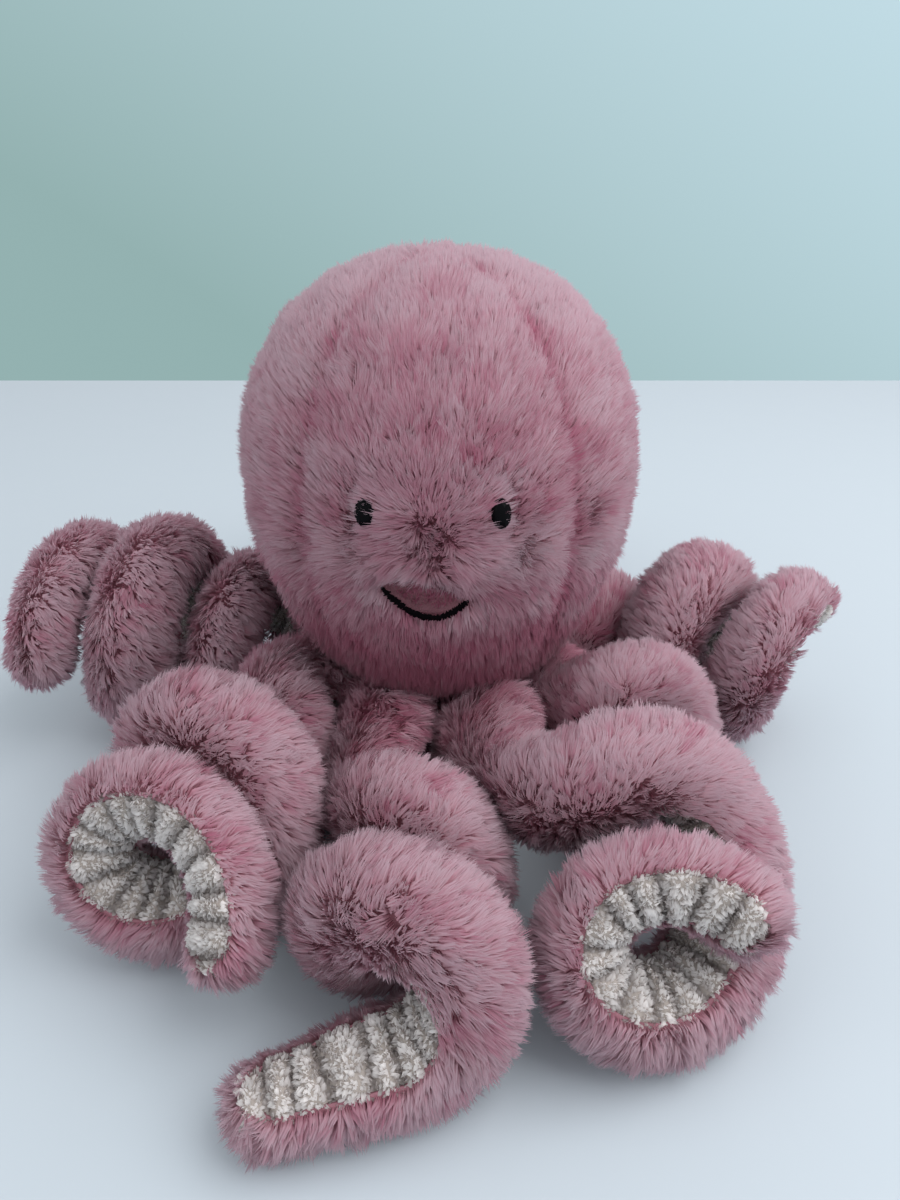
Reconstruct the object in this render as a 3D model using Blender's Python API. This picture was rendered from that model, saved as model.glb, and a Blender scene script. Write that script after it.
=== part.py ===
"""A plush octopus with a sewn head, a flat base and eight curled tentacles.

The head is an egg of four gores round its stuffing. Under it a groove runs round the waist,
and the rounded roots of the tentacles sit in that groove, over a flat base panel. Each tentacle
is a channel of fur, a gathered lining sewn into its mouth, and stuffing between them, coiled
round its lining. Heights are measured from the floor, azimuths from the front, which is -Y,
and turn towards +X. The coils all wind the same way.
"""

import math
from dataclasses import dataclass

import bmesh
import bpy
import numpy as np
from mathutils import Vector
from mathutils.bvhtree import BVHTree

# Clearances
GAP_SHOWN = 0.0040
SEAM_GAP = 0.0003
FILLING_GAP = 0.0012
SOCKET_CLEARANCE = 0.0005
FLOOR_GAP = 0.0003
SHARP_ANGLE = 50.0

# Head
HEAD_RADIUS = 0.0845
HEAD_TOP = 0.2360
HEAD_FOOT = 0.0640
HEAD_LEAN = 0.0060
PANEL_THICKNESS = 0.0060
SEAM_DIP = 0.0024
SEAM_DIP_WIDTH = 0.0110
SEAM_FULL_SHARE = 0.25  # of the head's height, where the seams reach their full depth
HEAD_PROFILE_SHARES = (
    (0.000, 0.685), (0.055, 0.775), (0.160, 0.890), (0.280, 0.970), (0.410, 1.015),
    (0.530, 1.022), (0.645, 0.985), (0.755, 0.900), (0.855, 0.760), (0.930, 0.575),
    (0.980, 0.330), (0.997, 0.140),
)  # (share of the height from foot to top, share of HEAD_RADIUS)

# Gores: name, first azimuth, last azimuth and columns, in degrees
GORES = (
    ("head_front_panel", -39.0, 39.0, 6),
    ("head_right_panel", 39.0, 137.0, 7),
    ("head_back_panel", 137.0, 223.0, 6),
    ("head_left_panel", 223.0, 321.0, 7),
)

# Waist, roots and base
ROOT_RING = 0.0550
ROOT_HEIGHT = 0.0410
ROOT_RADIUS = 0.0200
GROOVE_ANGLES = (-58.0, -36.0, -12.0, 12.0, 36.0, 60.0, 80.0)
GROOVE_STEP = 24.0
BASE_RADIUS = 0.0500
BASE_ROUND = 0.0030
BASE_THICKNESS = 0.0045

# Face
FACE_TURN = -1.4
EYE_SPREAD = 18.4
EYE_HEIGHT = 0.1570
EYE_HALF_WIDTH = 0.0038
EYE_HALF_HEIGHT = 0.0056
EYE_DOME = 0.0030
MOUTH_FIRST_AZIMUTH = -15.3
MOUTH_LAST_AZIMUTH = 8.2
MOUTH_HEIGHT = 0.1225
MOUTH_DROP = 0.0105
MOUTH_THREAD_RADIUS = 0.0011
MOUTH_POINTS = 14
MOUTH_TILT_SHARE = 0.25  # of the drop, how much higher its left end starts
EYE_SEGMENTS = 14
EYE_RINGS = 8

# Tentacles
TUBE_RADIUS = 0.0200
TIP_RADIUS = 0.0145
TAPER_START_SHARE = 0.65
TAILED_COIL_SHARE = 0.80  # of the taper, what a coil with an uncoiled tip takes
LIFT_START_SHARE = 0.45
LIFT_SPAN_SHARE = 0.40
COIL_RADIUS = 0.0250
COIL_PITCH = 0.0420
LEAD_LENGTH = 0.0600
WIND_LENGTH = 0.0340
BEND_LENGTH = 0.0800
TAIL_LENGTH = 0.0520
RISE_LENGTH = 0.0460
EASE_LENGTH = 0.0360
EASED_LENGTH = 0.1800
NECK_RADIUS = 0.0158
NECK_LENGTH = 0.0900
RING_SPACING = 0.0180
NECK_RING_SPACING = 0.0100
TANGENT_LENGTH = 0.0120
FINE_STEP = 0.0005
GAP_STRIDE = 8
FUR_WALL = 0.0045
LIP_WIDTH = 0.0030
LINING_THICKNESS = 0.0030
LINING_DEPTH_SHARE = 0.62
CAP_ANGLES = (36.0, 62.0)
OUTER_ARC_POINTS = 7
MOST_TWIST_PER_METRE = 1350.0
INNER_ARC_ANGLE = 120.0


@dataclass(frozen=True)
class Tentacle:
    """How one tentacle leaves the waist and coils. Angles are in degrees."""

    number: int
    root_azimuth: float
    start_heading: float
    end_heading: float
    first_turn: float  # where on its coil it starts: 0 is over the coil's axis
    last_turn: float
    hold_share: float  # of LEAD_LENGTH, before it begins to wind
    coil_share: float  # of COIL_RADIUS, near the root
    end_coil_share: float
    pitch_share: float  # of COIL_PITCH
    mouth_turn: float  # how far the lining faces outwards at the coil's mouth
    mouth_lift: float  # how far the coil's axis tilts up at its mouth
    tail_share: float = 0.0  # of TAIL_LENGTH, the uncoiled tip


TENTACLES = (
    Tentacle(1, -112.0, -86.0, -88.0, -60.0, 805.0, 0.42, 1.04, 1.46, 1.00, 30.0, 0.0),
    Tentacle(2, -67.0, -38.0, -10.0, -50.0, 818.0, 0.26, 0.78, 1.28, 1.26, 60.0, 30.0),
    Tentacle(3, -22.0, 7.0, -3.0, -70.0, 540.0, 0.86, 0.60, 0.88, 1.22, 10.0, 0.0, 0.80),
    Tentacle(4, 22.0, 33.0, 3.0, -60.0, 394.0, 1.16, 0.88, 1.34, 1.50, 58.0, 42.0),
    Tentacle(5, 67.0, 51.0, 25.0, -90.0, 290.0, 0.28, 0.85, 1.00, 1.08, 20.0, 0.0),
    Tentacle(6, 112.0, 97.0, 63.0, -60.0, 770.0, 0.12, 0.84, 1.22, 1.10, 45.0, 0.0),
    Tentacle(7, 157.0, 157.0, 168.0, -40.0, 860.0, 0.25, 0.95, 1.00, 1.12, 30.0, 10.0),
    Tentacle(8, -157.0, -157.0, -168.0, -40.0, 860.0, 0.25, 0.95, 1.00, 1.08, 30.0, 10.0),
)

# Finishes: name, colour, roughness and metallic
FUR = ("rose_fur", (0.36, 0.13, 0.15, 1.0), 0.95, 0.0)
LINING = ("cream_chenille", (0.62, 0.56, 0.50, 1.0), 0.95, 0.0)
STUFFING = ("white_stuffing", (0.80, 0.80, 0.78, 1.0), 1.0, 0.0)
EYE = ("black_eye", (0.012, 0.012, 0.014, 1.0), 0.30, 0.0)
THREAD = ("black_thread", (0.010, 0.010, 0.012, 1.0), 0.75, 0.0)


def smooth(value):
    """An even start and stop between 0 and 1."""
    value = min(1.0, max(0.0, value))
    return value * value * (3.0 - 2.0 * value)


def mix(first, last, share):
    """The value that lies that share of the way from first to last."""
    return first + (last - first) * share


def heading_vector(degrees):
    """The level unit vector at an azimuth."""
    angle = math.radians(degrees)
    return np.array([math.sin(angle), -math.cos(angle), 0.0])


def material(finish):
    """The material of one finish, made on its first use."""
    name, colour, roughness, metallic = finish
    found = bpy.data.materials.get(name)
    if found:
        return found
    made = bpy.data.materials.new(name)
    made.use_nodes = True
    shader = made.node_tree.nodes["Principled BSDF"]
    shader.inputs["Base Color"].default_value = colour
    shader.inputs["Roughness"].default_value = roughness
    shader.inputs["Metallic"].default_value = metallic
    return made


def add_object(name, bm, finish, origin=(0.0, 0.0, 0.0), parent=None):
    """Turns a bmesh in world places into an object whose origin is at the given point."""
    mesh = bpy.data.meshes.new(name)
    bmesh.ops.translate(bm, verts=bm.verts, vec=-Vector(origin))
    bm.to_mesh(mesh)
    bm.free()
    mesh.materials.append(material(finish))
    mesh.shade_smooth()
    mesh.set_sharp_from_angle(angle=math.radians(SHARP_ANGLE))
    made = bpy.data.objects.new(name, mesh)
    bpy.context.collection.objects.link(made)
    made.location = origin
    if parent:
        made.parent = parent
        made.location = (0.0, 0.0, 0.0)
    return made


# Head and base


def head_outline():
    """The head's outer profile from base to crown, as (radius, height, seam dip weight)."""
    clear = (ROOT_RADIUS + SOCKET_CLEARANCE) / math.cos(math.radians(GROOVE_STEP / 2.0))
    rows = [
        (BASE_RADIUS - BASE_ROUND, BASE_THICKNESS + SEAM_GAP, 0.0),
        (BASE_RADIUS, BASE_THICKNESS + SEAM_GAP + BASE_ROUND, 0.0),
    ]
    for angle in GROOVE_ANGLES:
        turn = math.radians(angle)
        rows.append((ROOT_RING - clear * math.cos(turn), ROOT_HEIGHT + clear * math.sin(turn), 0.0))
    for height_share, radius_share in HEAD_PROFILE_SHARES:
        height = mix(HEAD_FOOT, HEAD_TOP, height_share)
        rows.append((HEAD_RADIUS * radius_share, height, smooth(height_share / SEAM_FULL_SHARE)))
    return rows


def inset_outline(rows, depth):
    """The same profile moved inwards by depth, square to the profile."""
    points = [np.array(row[:2]) for row in rows]
    points.append(np.array([0.0, HEAD_TOP]))
    moved = []
    for index, row in enumerate(rows):
        before = points[index] - points[index - 1] if index else np.array([0.0, 1.0])
        after = points[index + 1] - points[index]
        before = before / np.linalg.norm(before)
        after = after / np.linalg.norm(after)
        way = before + after
        way = way / np.linalg.norm(way)
        inward = np.array([-way[1], way[0]])
        reach = depth / max(0.5, float(way @ after))
        place = points[index] + inward * reach
        if index == 0:
            place = np.array([points[0][0] - depth, points[0][1]])
        moved.append((place[0], place[1], row[2]))
    return moved


def seam_azimuths():
    """The azimuths of the four seams."""
    return [gore[1] for gore in GORES]


def head_point(radius, height, dip, azimuth):
    """A point of the head's surface, drawn in beside the seams and leaning back to the crown."""
    nearest = min(abs((azimuth - seam + 180.0) % 360.0 - 180.0) for seam in seam_azimuths())
    away = math.radians(nearest) * max(radius, SEAM_DIP_WIDTH) / SEAM_DIP_WIDTH
    radius = radius - SEAM_DIP * dip * math.exp(-away * away)
    lean = HEAD_LEAN * smooth((height - HEAD_FOOT) / (HEAD_TOP - HEAD_FOOT))
    return Vector(heading_vector(azimuth) * radius) + Vector((0.0, lean, height))


def gore_columns(first, last, columns, radius):
    """The azimuths of a gore's columns, with half a seam's gap left at each side."""
    margin = math.degrees(math.asin(min(0.9, SEAM_GAP / 2.0 / radius)))
    return [mix(first + margin, last - margin, index / columns) for index in range(columns + 1)]


def grid_faces(bm, rows, flip):
    """Joins rows of vertices of the same length with faces."""
    for lower, upper in zip(rows, rows[1:]):
        for index in range(len(lower) - 1):
            corners = [lower[index], lower[index + 1], upper[index + 1], upper[index]]
            bm.faces.new(corners[::-1] if flip else corners)


def build_gore(name, first, last, columns):
    """One gore: an outer and an inner surface, joined along its four edges."""
    bm = bmesh.new()
    outline = head_outline()
    shells = []
    middle = (first + last) / 2.0
    for depth in (0.0, PANEL_THICKNESS):
        rows = []
        for radius, height, dip in inset_outline(outline, depth) if depth else outline:
            azimuths = gore_columns(first, last, columns, radius)
            rows.append([bm.verts.new(head_point(radius, height, dip, azimuth)) for azimuth in azimuths])
        crown = heading_vector(middle) * SEAM_GAP
        top = bm.verts.new(Vector(crown) + Vector((0.0, HEAD_LEAN, HEAD_TOP - depth)))
        shells.append((rows, top))
    (outer, outer_top), (inner, inner_top) = shells
    grid_faces(bm, outer, False)
    grid_faces(bm, inner, True)
    for index in range(columns):
        bm.faces.new((outer[-1][index], outer[-1][index + 1], outer_top))
        bm.faces.new((inner[-1][index + 1], inner[-1][index], inner_top))
        bm.faces.new((outer[0][index + 1], outer[0][index], inner[0][index], inner[0][index + 1]))
    for side, flip in ((0, False), (-1, True)):
        edge = [(low[side], deep[side]) for low, deep in zip(outer, inner)] + [(outer_top, inner_top)]
        for (low_out, low_in), (high_out, high_in) in zip(edge, edge[1:]):
            corners = [low_out, high_out, high_in, low_in]
            bm.faces.new(corners[::-1] if flip else corners)
    bmesh.ops.recalc_face_normals(bm, faces=bm.faces)
    bmesh.ops.triangulate(bm, faces=bm.faces)
    return add_object(name, bm, FUR)


def build_head_filling():
    """The head's stuffing, which fills the gores down to the base panel."""
    bm = bmesh.new()
    rows = []
    azimuths = [
        azimuth
        for _, first, last, columns in GORES
        for azimuth in gore_columns(first, last, columns, HEAD_RADIUS)[:-1]
    ]
    for radius, height, dip in inset_outline(head_outline(), PANEL_THICKNESS + FILLING_GAP):
        ring = [bm.verts.new(head_point(radius, height, dip, azimuth)) for azimuth in azimuths]
        rows.append(ring + ring[:1])
    grid_faces(bm, rows, False)
    bm.faces.new(rows[0][:-1][::-1])
    bm.faces.new(rows[-1][:-1])
    bmesh.ops.recalc_face_normals(bm, faces=bm.faces)
    bmesh.ops.triangulate(bm, faces=bm.faces)
    return add_object("head_filling", bm, STUFFING)


def build_base_panel():
    """The round panel under the waist, flat on the floor."""
    bm = bmesh.new()
    columns = sum(gore[3] for gore in GORES)
    bmesh.ops.create_circle(bm, cap_ends=True, segments=columns, radius=BASE_RADIUS - BASE_ROUND)
    raised = bmesh.ops.extrude_face_region(bm, geom=bm.faces[:])
    top = [item for item in raised["geom"] if isinstance(item, bmesh.types.BMVert)]
    bmesh.ops.translate(bm, verts=top, vec=(0.0, 0.0, BASE_THICKNESS))
    bmesh.ops.recalc_face_normals(bm, faces=bm.faces)
    return add_object("base_panel", bm, FUR)


# Face


def face_tree(panel):
    """A search tree of the front panel, in world places."""
    bm = bmesh.new()
    bm.from_mesh(panel.data)
    tree = BVHTree.FromBMesh(bm)
    bm.free()
    return tree


def on_face(tree, azimuth, height):
    """Where a level line towards the head's axis meets the front panel, and the way out there."""
    way = Vector(heading_vector(azimuth))
    start = way * (2.0 * HEAD_RADIUS) + Vector((0.0, 0.0, height))
    place, normal, _, _ = tree.ray_cast(start, -way)
    return place, normal


def build_eye(name, tree, azimuth):
    """An oval domed bead with a flat back, seated on the face."""
    place, normal = on_face(tree, azimuth, EYE_HEIGHT)
    bm = bmesh.new()
    bmesh.ops.create_uvsphere(bm, u_segments=EYE_SEGMENTS, v_segments=EYE_RINGS, radius=1.0)
    cut = bmesh.ops.bisect_plane(
        bm, geom=bm.verts[:] + bm.edges[:] + bm.faces[:], dist=SEAM_GAP * SEAM_GAP,
        plane_co=(0.0, 0.0, 0.0), plane_no=(0.0, 0.0, -1.0), clear_outer=True,
    )
    rim = [item for item in cut["geom_cut"] if isinstance(item, bmesh.types.BMEdge)]
    bmesh.ops.contextual_create(bm, geom=rim)
    bmesh.ops.scale(bm, verts=bm.verts, vec=(EYE_HALF_WIDTH, EYE_HALF_HEIGHT, EYE_DOME))
    turn = normal.to_track_quat("Z", "Y").to_matrix()
    bmesh.ops.rotate(bm, verts=bm.verts, cent=(0.0, 0.0, 0.0), matrix=turn)
    bmesh.ops.recalc_face_normals(bm, faces=bm.faces)
    sunk = [0.0]
    for vert in bm.verts:
        spot = place + vert.co
        foot = tree.find_nearest(spot)[0]
        sunk.append((foot - spot).dot(normal))
    bmesh.ops.translate(bm, verts=bm.verts, vec=place + normal * (max(sunk) + SEAM_GAP))
    return add_object(name, bm, EYE)


def build_mouth(tree):
    """The stitched smile, one thick thread line that follows the face."""
    curve = bpy.data.curves.new("mouth_stitching", "CURVE")
    curve.dimensions = "3D"
    curve.bevel_depth = MOUTH_THREAD_RADIUS
    curve.bevel_resolution = 1
    curve.use_fill_caps = True
    spline = curve.splines.new("POLY")
    spline.points.add(MOUTH_POINTS - 1)
    for index, point in enumerate(spline.points):
        share = index / (MOUTH_POINTS - 1)
        azimuth = mix(MOUTH_FIRST_AZIMUTH, MOUTH_LAST_AZIMUTH, share)
        arch = 1.0 - (2.0 * share - 1.0) ** 2
        height = MOUTH_HEIGHT + MOUTH_DROP * (MOUTH_TILT_SHARE * (1.0 - share) - arch)
        place, normal = on_face(tree, azimuth, height)
        place = place + normal * (MOUTH_THREAD_RADIUS + 2.0 * SEAM_GAP)
        point.co = (*place, 1.0)
    curve.materials.append(material(THREAD))
    made = bpy.data.objects.new("mouth_stitching", curve)
    bpy.context.collection.objects.link(made)
    return made


# Tentacles


@dataclass
class Path:
    """A tentacle's centre line, fine enough to read rings from."""

    places: np.ndarray
    linings: np.ndarray  # unit vectors towards the lining
    radii: np.ndarray

    def travelled(self):
        """The length walked to each place."""
        steps = np.linalg.norm(np.diff(self.places, axis=0), axis=1)
        return np.concatenate([[0.0], np.cumsum(steps)])


def evened(path):
    """The same line with its places spaced evenly."""
    travelled = path.travelled()
    count = int(travelled[-1] / FINE_STEP) + 1
    wanted = np.linspace(0.0, travelled[-1], count)
    places = np.stack([np.interp(wanted, travelled, path.places[:, axis]) for axis in range(3)], axis=1)
    linings = np.stack([np.interp(wanted, travelled, path.linings[:, axis]) for axis in range(3)], axis=1)
    return Path(places, linings, np.interp(wanted, travelled, path.radii))


def eased(path):
    """The same line with its bends eased, most of all beside the root, where it begins to wind."""
    places = path.places
    for _ in range(2):
        summed = np.concatenate([np.zeros((1, 3)), np.cumsum(places, axis=0)])
        index = np.arange(len(places))
        share = np.clip(index * FINE_STEP / EASED_LENGTH, 0.0, 1.0)
        reach = (1.0 - share * share) * EASE_LENGTH / 2.0 / FINE_STEP
        reach = np.minimum(np.minimum(reach.astype(int), index), index[::-1])
        places = (summed[index + reach + 1] - summed[index - reach]) / (2 * reach + 1)[:, None]
    return Path(places, path.linings, path.radii)


def trace(tentacle):
    """Walks the coil's axis outwards from the waist and winds the centre line round it."""
    hold = LEAD_LENGTH * tentacle.hold_share
    pitch = COIL_PITCH * tentacle.pitch_share
    turn = math.radians(tentacle.first_turn)
    last = math.radians(tentacle.last_turn)
    axis = heading_vector(tentacle.root_azimuth) * ROOT_RING
    total = hold + WIND_LENGTH / 2.0 + pitch * (last - turn) / (2.0 * math.pi)
    walked = 0.0
    places, linings, radii = [], [], []
    up = np.array([0.0, 0.0, 1.0])
    while turn < last:
        share = min(1.0, walked / total)
        heading = mix(tentacle.start_heading, tentacle.end_heading, smooth((walked - hold) / BEND_LENGTH))
        lift = math.radians(tentacle.mouth_lift) * smooth((share - LIFT_START_SHARE) / LIFT_SPAN_SHARE)
        ahead = heading_vector(heading)
        side = np.cross(up, ahead)
        above = up * math.cos(lift) - ahead * math.sin(lift)
        coil = COIL_RADIUS * mix(tentacle.coil_share, tentacle.end_coil_share, smooth(share))
        coil = coil * smooth(walked / RISE_LENGTH)
        tube = tube_radius(walked, share * (TAILED_COIL_SHARE if tentacle.tail_share else 1.0))
        resting = coil * math.cos(lift) + tube + FLOOR_GAP
        height = mix(ROOT_HEIGHT, resting, smooth(walked / RISE_LENGTH))
        out = above * math.cos(turn) + side * math.sin(turn)
        places.append(axis + up * height + out * coil)
        opening = math.radians(tentacle.mouth_turn) * smooth(2.0 * share - 1.0)
        forward = ahead * math.cos(lift) + up * math.sin(lift)
        linings.append(-out * math.cos(opening) + forward * math.sin(opening))
        radii.append(tube)
        turn += 2.0 * math.pi / pitch * smooth((walked - hold) / WIND_LENGTH) * FINE_STEP
        walked += FINE_STEP
        axis = axis + ahead * FINE_STEP
    if tentacle.tail_share:
        way = places[-1] - places[-2]
        way[2] = 0.0
        way = way / np.linalg.norm(way)
        length = TAIL_LENGTH * tentacle.tail_share
        steps = int(length / FINE_STEP)
        start, facing, width = places[-1], linings[-1], radii[-1]
        for index in range(1, steps + 1):
            share = index / steps
            tube = mix(width, TIP_RADIUS, smooth(share))
            place = start + way * (length * share)
            place[2] = mix(start[2], tube + FLOOR_GAP, smooth(2.0 * share))
            places.append(place)
            linings.append(facing * (1.0 - smooth(share)) + up * smooth(share))
            radii.append(tube)
    return evened(eased(evened(Path(np.array(places), np.array(linings), np.array(radii)))))


def tube_radius(walked, share):
    """The tube's radius: thin behind the root, then even, then tapering to the tip."""
    neck = smooth(walked / NECK_LENGTH)
    body = mix(ROOT_RADIUS, NECK_RADIUS, smooth(2.0 * neck))
    if neck >= 0.5:
        body = mix(NECK_RADIUS, TUBE_RADIUS, smooth(2.0 * neck - 1.0))
    taper = smooth((share - TAPER_START_SHARE) / (1.0 - TAPER_START_SHARE))
    return mix(body, TIP_RADIUS, taper)


@dataclass
class Ring:
    """A cross-section: its centre, its two directions, its radius and how far a cap shrinks it."""

    centre: np.ndarray
    toward: np.ndarray
    across: np.ndarray
    radius: float
    scale: float


def turned(vector, about, angle):
    """A vector turned about a unit vector that is square to it."""
    return vector * math.cos(angle) + np.cross(about, vector) * math.sin(angle)


def square_to(vector, along):
    """The unit vector nearest to vector that is square to along."""
    flat = vector - along * (vector @ along)
    return flat / np.linalg.norm(flat)


def section_rings(path):
    """Rings along the centre line, closer at the neck, with a rounded cap at each end.

    The lining follows the coil's inner side from the tip back, as far as the cloth can twist.
    """
    travelled = path.travelled()
    length = travelled[-1]
    neck = np.arange(0.0, NECK_LENGTH, NECK_RING_SPACING)
    count = round((length - NECK_LENGTH) / RING_SPACING)
    stations = np.concatenate([neck, np.linspace(NECK_LENGTH, length, count + 1)])
    rings = []
    for index in range(len(stations) - 1, -1, -1):
        at = stations[index]
        spot = min(len(path.places) - 2, int(np.searchsorted(travelled, at)))
        low = int(np.searchsorted(travelled, at - TANGENT_LENGTH / 2.0))
        high = int(np.searchsorted(travelled, at + TANGENT_LENGTH / 2.0))
        along = path.places[min(high, len(path.places) - 1)] - path.places[low]
        along = along / np.linalg.norm(along)
        wanted = square_to(path.linings[spot], along)
        toward = wanted
        if rings:
            carried = square_to(rings[0].toward, along)
            twist = math.atan2(np.cross(carried, wanted) @ along, carried @ wanted)
            limit = math.radians(MOST_TWIST_PER_METRE) * (stations[index + 1] - at)
            toward = turned(carried, along, min(limit, max(-limit, twist)))
        across = np.cross(along, toward)
        rings.insert(0, Ring(path.places[spot], toward, across, path.radii[spot], 1.0))
    for first, way in ((True, -1.0), (False, 1.0)):
        end = rings[0] if first else rings[-1]
        along = np.cross(end.toward, end.across)
        caps = []
        for angle in CAP_ANGLES:
            turn = math.radians(angle)
            centre = end.centre + along * (way * end.radius * math.sin(turn))
            caps.append(Ring(centre, end.toward, end.across, end.radius, math.cos(turn)))
        rings = caps[::-1] + rings if first else rings + caps
    return rings


def polar(radius, degrees):
    """A section point at an angle from the lining's side."""
    angle = math.radians(degrees)
    return np.array([radius * math.cos(angle), radius * math.sin(angle)])


def lip_point(radius):
    """The outer corner of the fur's lip, level with the lining's face."""
    depth = radius * LINING_DEPTH_SHARE
    return np.array([depth, math.sqrt(radius * radius - depth * depth)])


def floor_corner(radius):
    """Where the channel's side wall meets the arc round the stuffing, under the lining."""
    reach = radius - FUR_WALL
    level = radius * LINING_DEPTH_SHARE - LINING_THICKNESS
    return np.array([level, math.sqrt(reach * reach - level * level)])


def mirrored(points):
    """The same section points on the other side, in reverse order."""
    return [np.array([point[0], -point[1]]) for point in points[::-1]]


def fur_section(radius):
    """The fur's channel: round outside, two lips, two walls and an arc round the stuffing."""
    lip = lip_point(radius)
    first = math.degrees(math.atan2(lip[1], lip[0]))
    steps = OUTER_ARC_POINTS - 1
    outer = [polar(radius, mix(first, 360.0 - first, index / steps)) for index in range(steps + 1)]
    wall = [lip - np.array([0.0, LIP_WIDTH]), floor_corner(radius)]
    side = wall + [polar(radius - FUR_WALL, INNER_ARC_ANGLE)]
    return outer + mirrored(side[::-1]) + side[::-1]


def lining_section(radius):
    """The lining's strip, which closes the channel between the lips."""
    gap = np.array([0.0, SEAM_GAP])
    inside_lip = lip_point(radius) - np.array([0.0, LIP_WIDTH])
    side = [inside_lip - gap, floor_corner(radius) - gap]
    return side + mirrored(side)


def filling_section(radius):
    """The stuffing, inside the fur and under the lining."""
    corner = floor_corner(radius) - np.array([FILLING_GAP, FILLING_GAP * 2.0])
    side = [corner, polar(radius - FUR_WALL - FILLING_GAP * 2.0, INNER_ARC_ANGLE)]
    return side + mirrored(side)


def loft(rings, section):
    """Joins one section from ring to ring, with like diagonals on surfaces that face each other."""
    bm = bmesh.new()
    loops, angles = [], []
    for ring in rings:
        points = section(ring.radius)
        angles = [math.degrees(math.atan2(point[1], point[0])) for point in points]
        loops.append([
            bm.verts.new(ring.centre + (ring.toward * point[0] + ring.across * point[1]) * ring.scale)
            for point in points
        ])
    count = len(angles)
    for near, far in zip(loops, loops[1:]):
        for index in range(count):
            other = (index + 1) % count
            rising = (angles[other] - angles[index] + 180.0) % 360.0 > 180.0
            first, second, third, fourth = near[index], near[other], far[other], far[index]
            if rising:
                bm.faces.new((first, second, fourth))
                bm.faces.new((second, third, fourth))
            else:
                bm.faces.new((first, second, third))
                bm.faces.new((first, third, fourth))
    for loop, flip in ((loops[0], True), (loops[-1], False)):
        for corners in end_triangles([angle % 360.0 for angle in angles]):
            bm.faces.new([loop[index] for index in (corners[::-1] if flip else corners)])
    return bm


def end_triangles(angles):
    """Triangles, as places in a section with these polar angles, that close its end."""
    count = len(angles)
    if count <= OUTER_ARC_POINTS:
        return [(0, index, index + 1) for index in range(1, count - 1)]
    # The fur's channel: its outer arc runs out, and its walls and inner arc run back
    outer, inner, made = 0, count - 1, []
    while outer < OUTER_ARC_POINTS - 1 or inner > OUTER_ARC_POINTS:
        outer_left = outer < OUTER_ARC_POINTS - 1
        inner_left = inner > OUTER_ARC_POINTS
        if outer_left and (not inner_left or angles[outer + 1] < angles[inner - 1]):
            made.append((outer, outer + 1, inner))
            outer += 1
        else:
            made.append((outer, inner - 1, inner))
            inner -= 1
    return made


def build_tentacle(tentacle, paths):
    """One tentacle's three pieces, under an empty on the seam that it swings on."""
    path = trace(tentacle)
    root = path.places[0]
    pivot = bpy.data.objects.new(f"tentacle_{tentacle.number}_root", None)
    pivot.location = root
    bpy.context.collection.objects.link(pivot)
    rings = section_rings(path)
    inner_rings = rings[len(CAP_ANGLES):-len(CAP_ANGLES)]
    pieces = (
        ("fur", fur_section, FUR, rings),
        ("lining", lining_section, LINING, rings),
        ("filling", filling_section, STUFFING, inner_rings),
    )
    for kind, section, finish, used in pieces:
        name = f"tentacle_{tentacle.number}_{kind}"
        add_object(name, loft(used, section), finish, tuple(root), pivot)
    paths[tentacle.number] = path
    centre = path.places[len(path.places) // 2:].mean(axis=0)
    swing = math.degrees(math.atan2(centre[0] - root[0], root[1] - centre[1]))
    print(f"tentacle {tentacle.number}: length {path.travelled()[-1]:.3f}, root {root.round(5)},",
          f"swings towards {swing:.1f}, {len(rings)} rings")


def print_gaps(paths):
    """Prints the least gap of each tentacle to itself and to the others, fur to fur."""
    for number, path in paths.items():
        for other, second in paths.items():
            if other < number:
                continue
            places, radii = path.places[::GAP_STRIDE], path.radii[::GAP_STRIDE]
            apart = np.linalg.norm(places[:, None] - second.places[None, ::GAP_STRIDE], axis=2)
            apart = apart - radii[:, None] - second.radii[None, ::GAP_STRIDE]
            if other == number:
                along = path.travelled()[::GAP_STRIDE]
                apart[np.abs(along[:, None] - along[None]) < 4.0 * ROOT_RADIUS] = np.inf
            low = np.unravel_index(np.argmin(apart), apart.shape)
            if apart[low] < 2.0 * GAP_SHOWN:
                print(f"gap {number}-{other}: {apart[low] * 1000:.1f} mm at {places[low[0]].round(3)}")


def main():
    """Builds the whole toy."""
    for old in list(bpy.data.objects):
        bpy.data.objects.remove(old)
    panels = {gore[0]: build_gore(*gore) for gore in GORES}
    build_head_filling()
    build_base_panel()
    tree = face_tree(panels["head_front_panel"])
    build_eye("eye_left", tree, FACE_TURN - EYE_SPREAD)
    build_eye("eye_right", tree, FACE_TURN + EYE_SPREAD)
    build_mouth(tree)
    paths = {}
    for tentacle in TENTACLES:
        build_tentacle(tentacle, paths)
    print_gaps(paths)


main()
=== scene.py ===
"""Dresses a plush octopus: rose pile, gathered chenille linings, bead eyes and a stitched smile.

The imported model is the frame, in metres, with +Z up. Azimuths are measured from the front, which
is -Y, and turn towards +X. Each furred surface is a backing cloth set deep in the solid, with a
pile of tufts that grows from it and ends a little outside the solid, as long pile does.
"""

import logging
import math
from collections.abc import Callable
from dataclasses import dataclass, field, fields, replace
from enum import Enum
from functools import cache

import bmesh
import bpy
import numpy as np
from mathutils import Matrix, Vector
from mathutils.bvhtree import BVHTree
from mathutils.kdtree import KDTree

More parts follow.
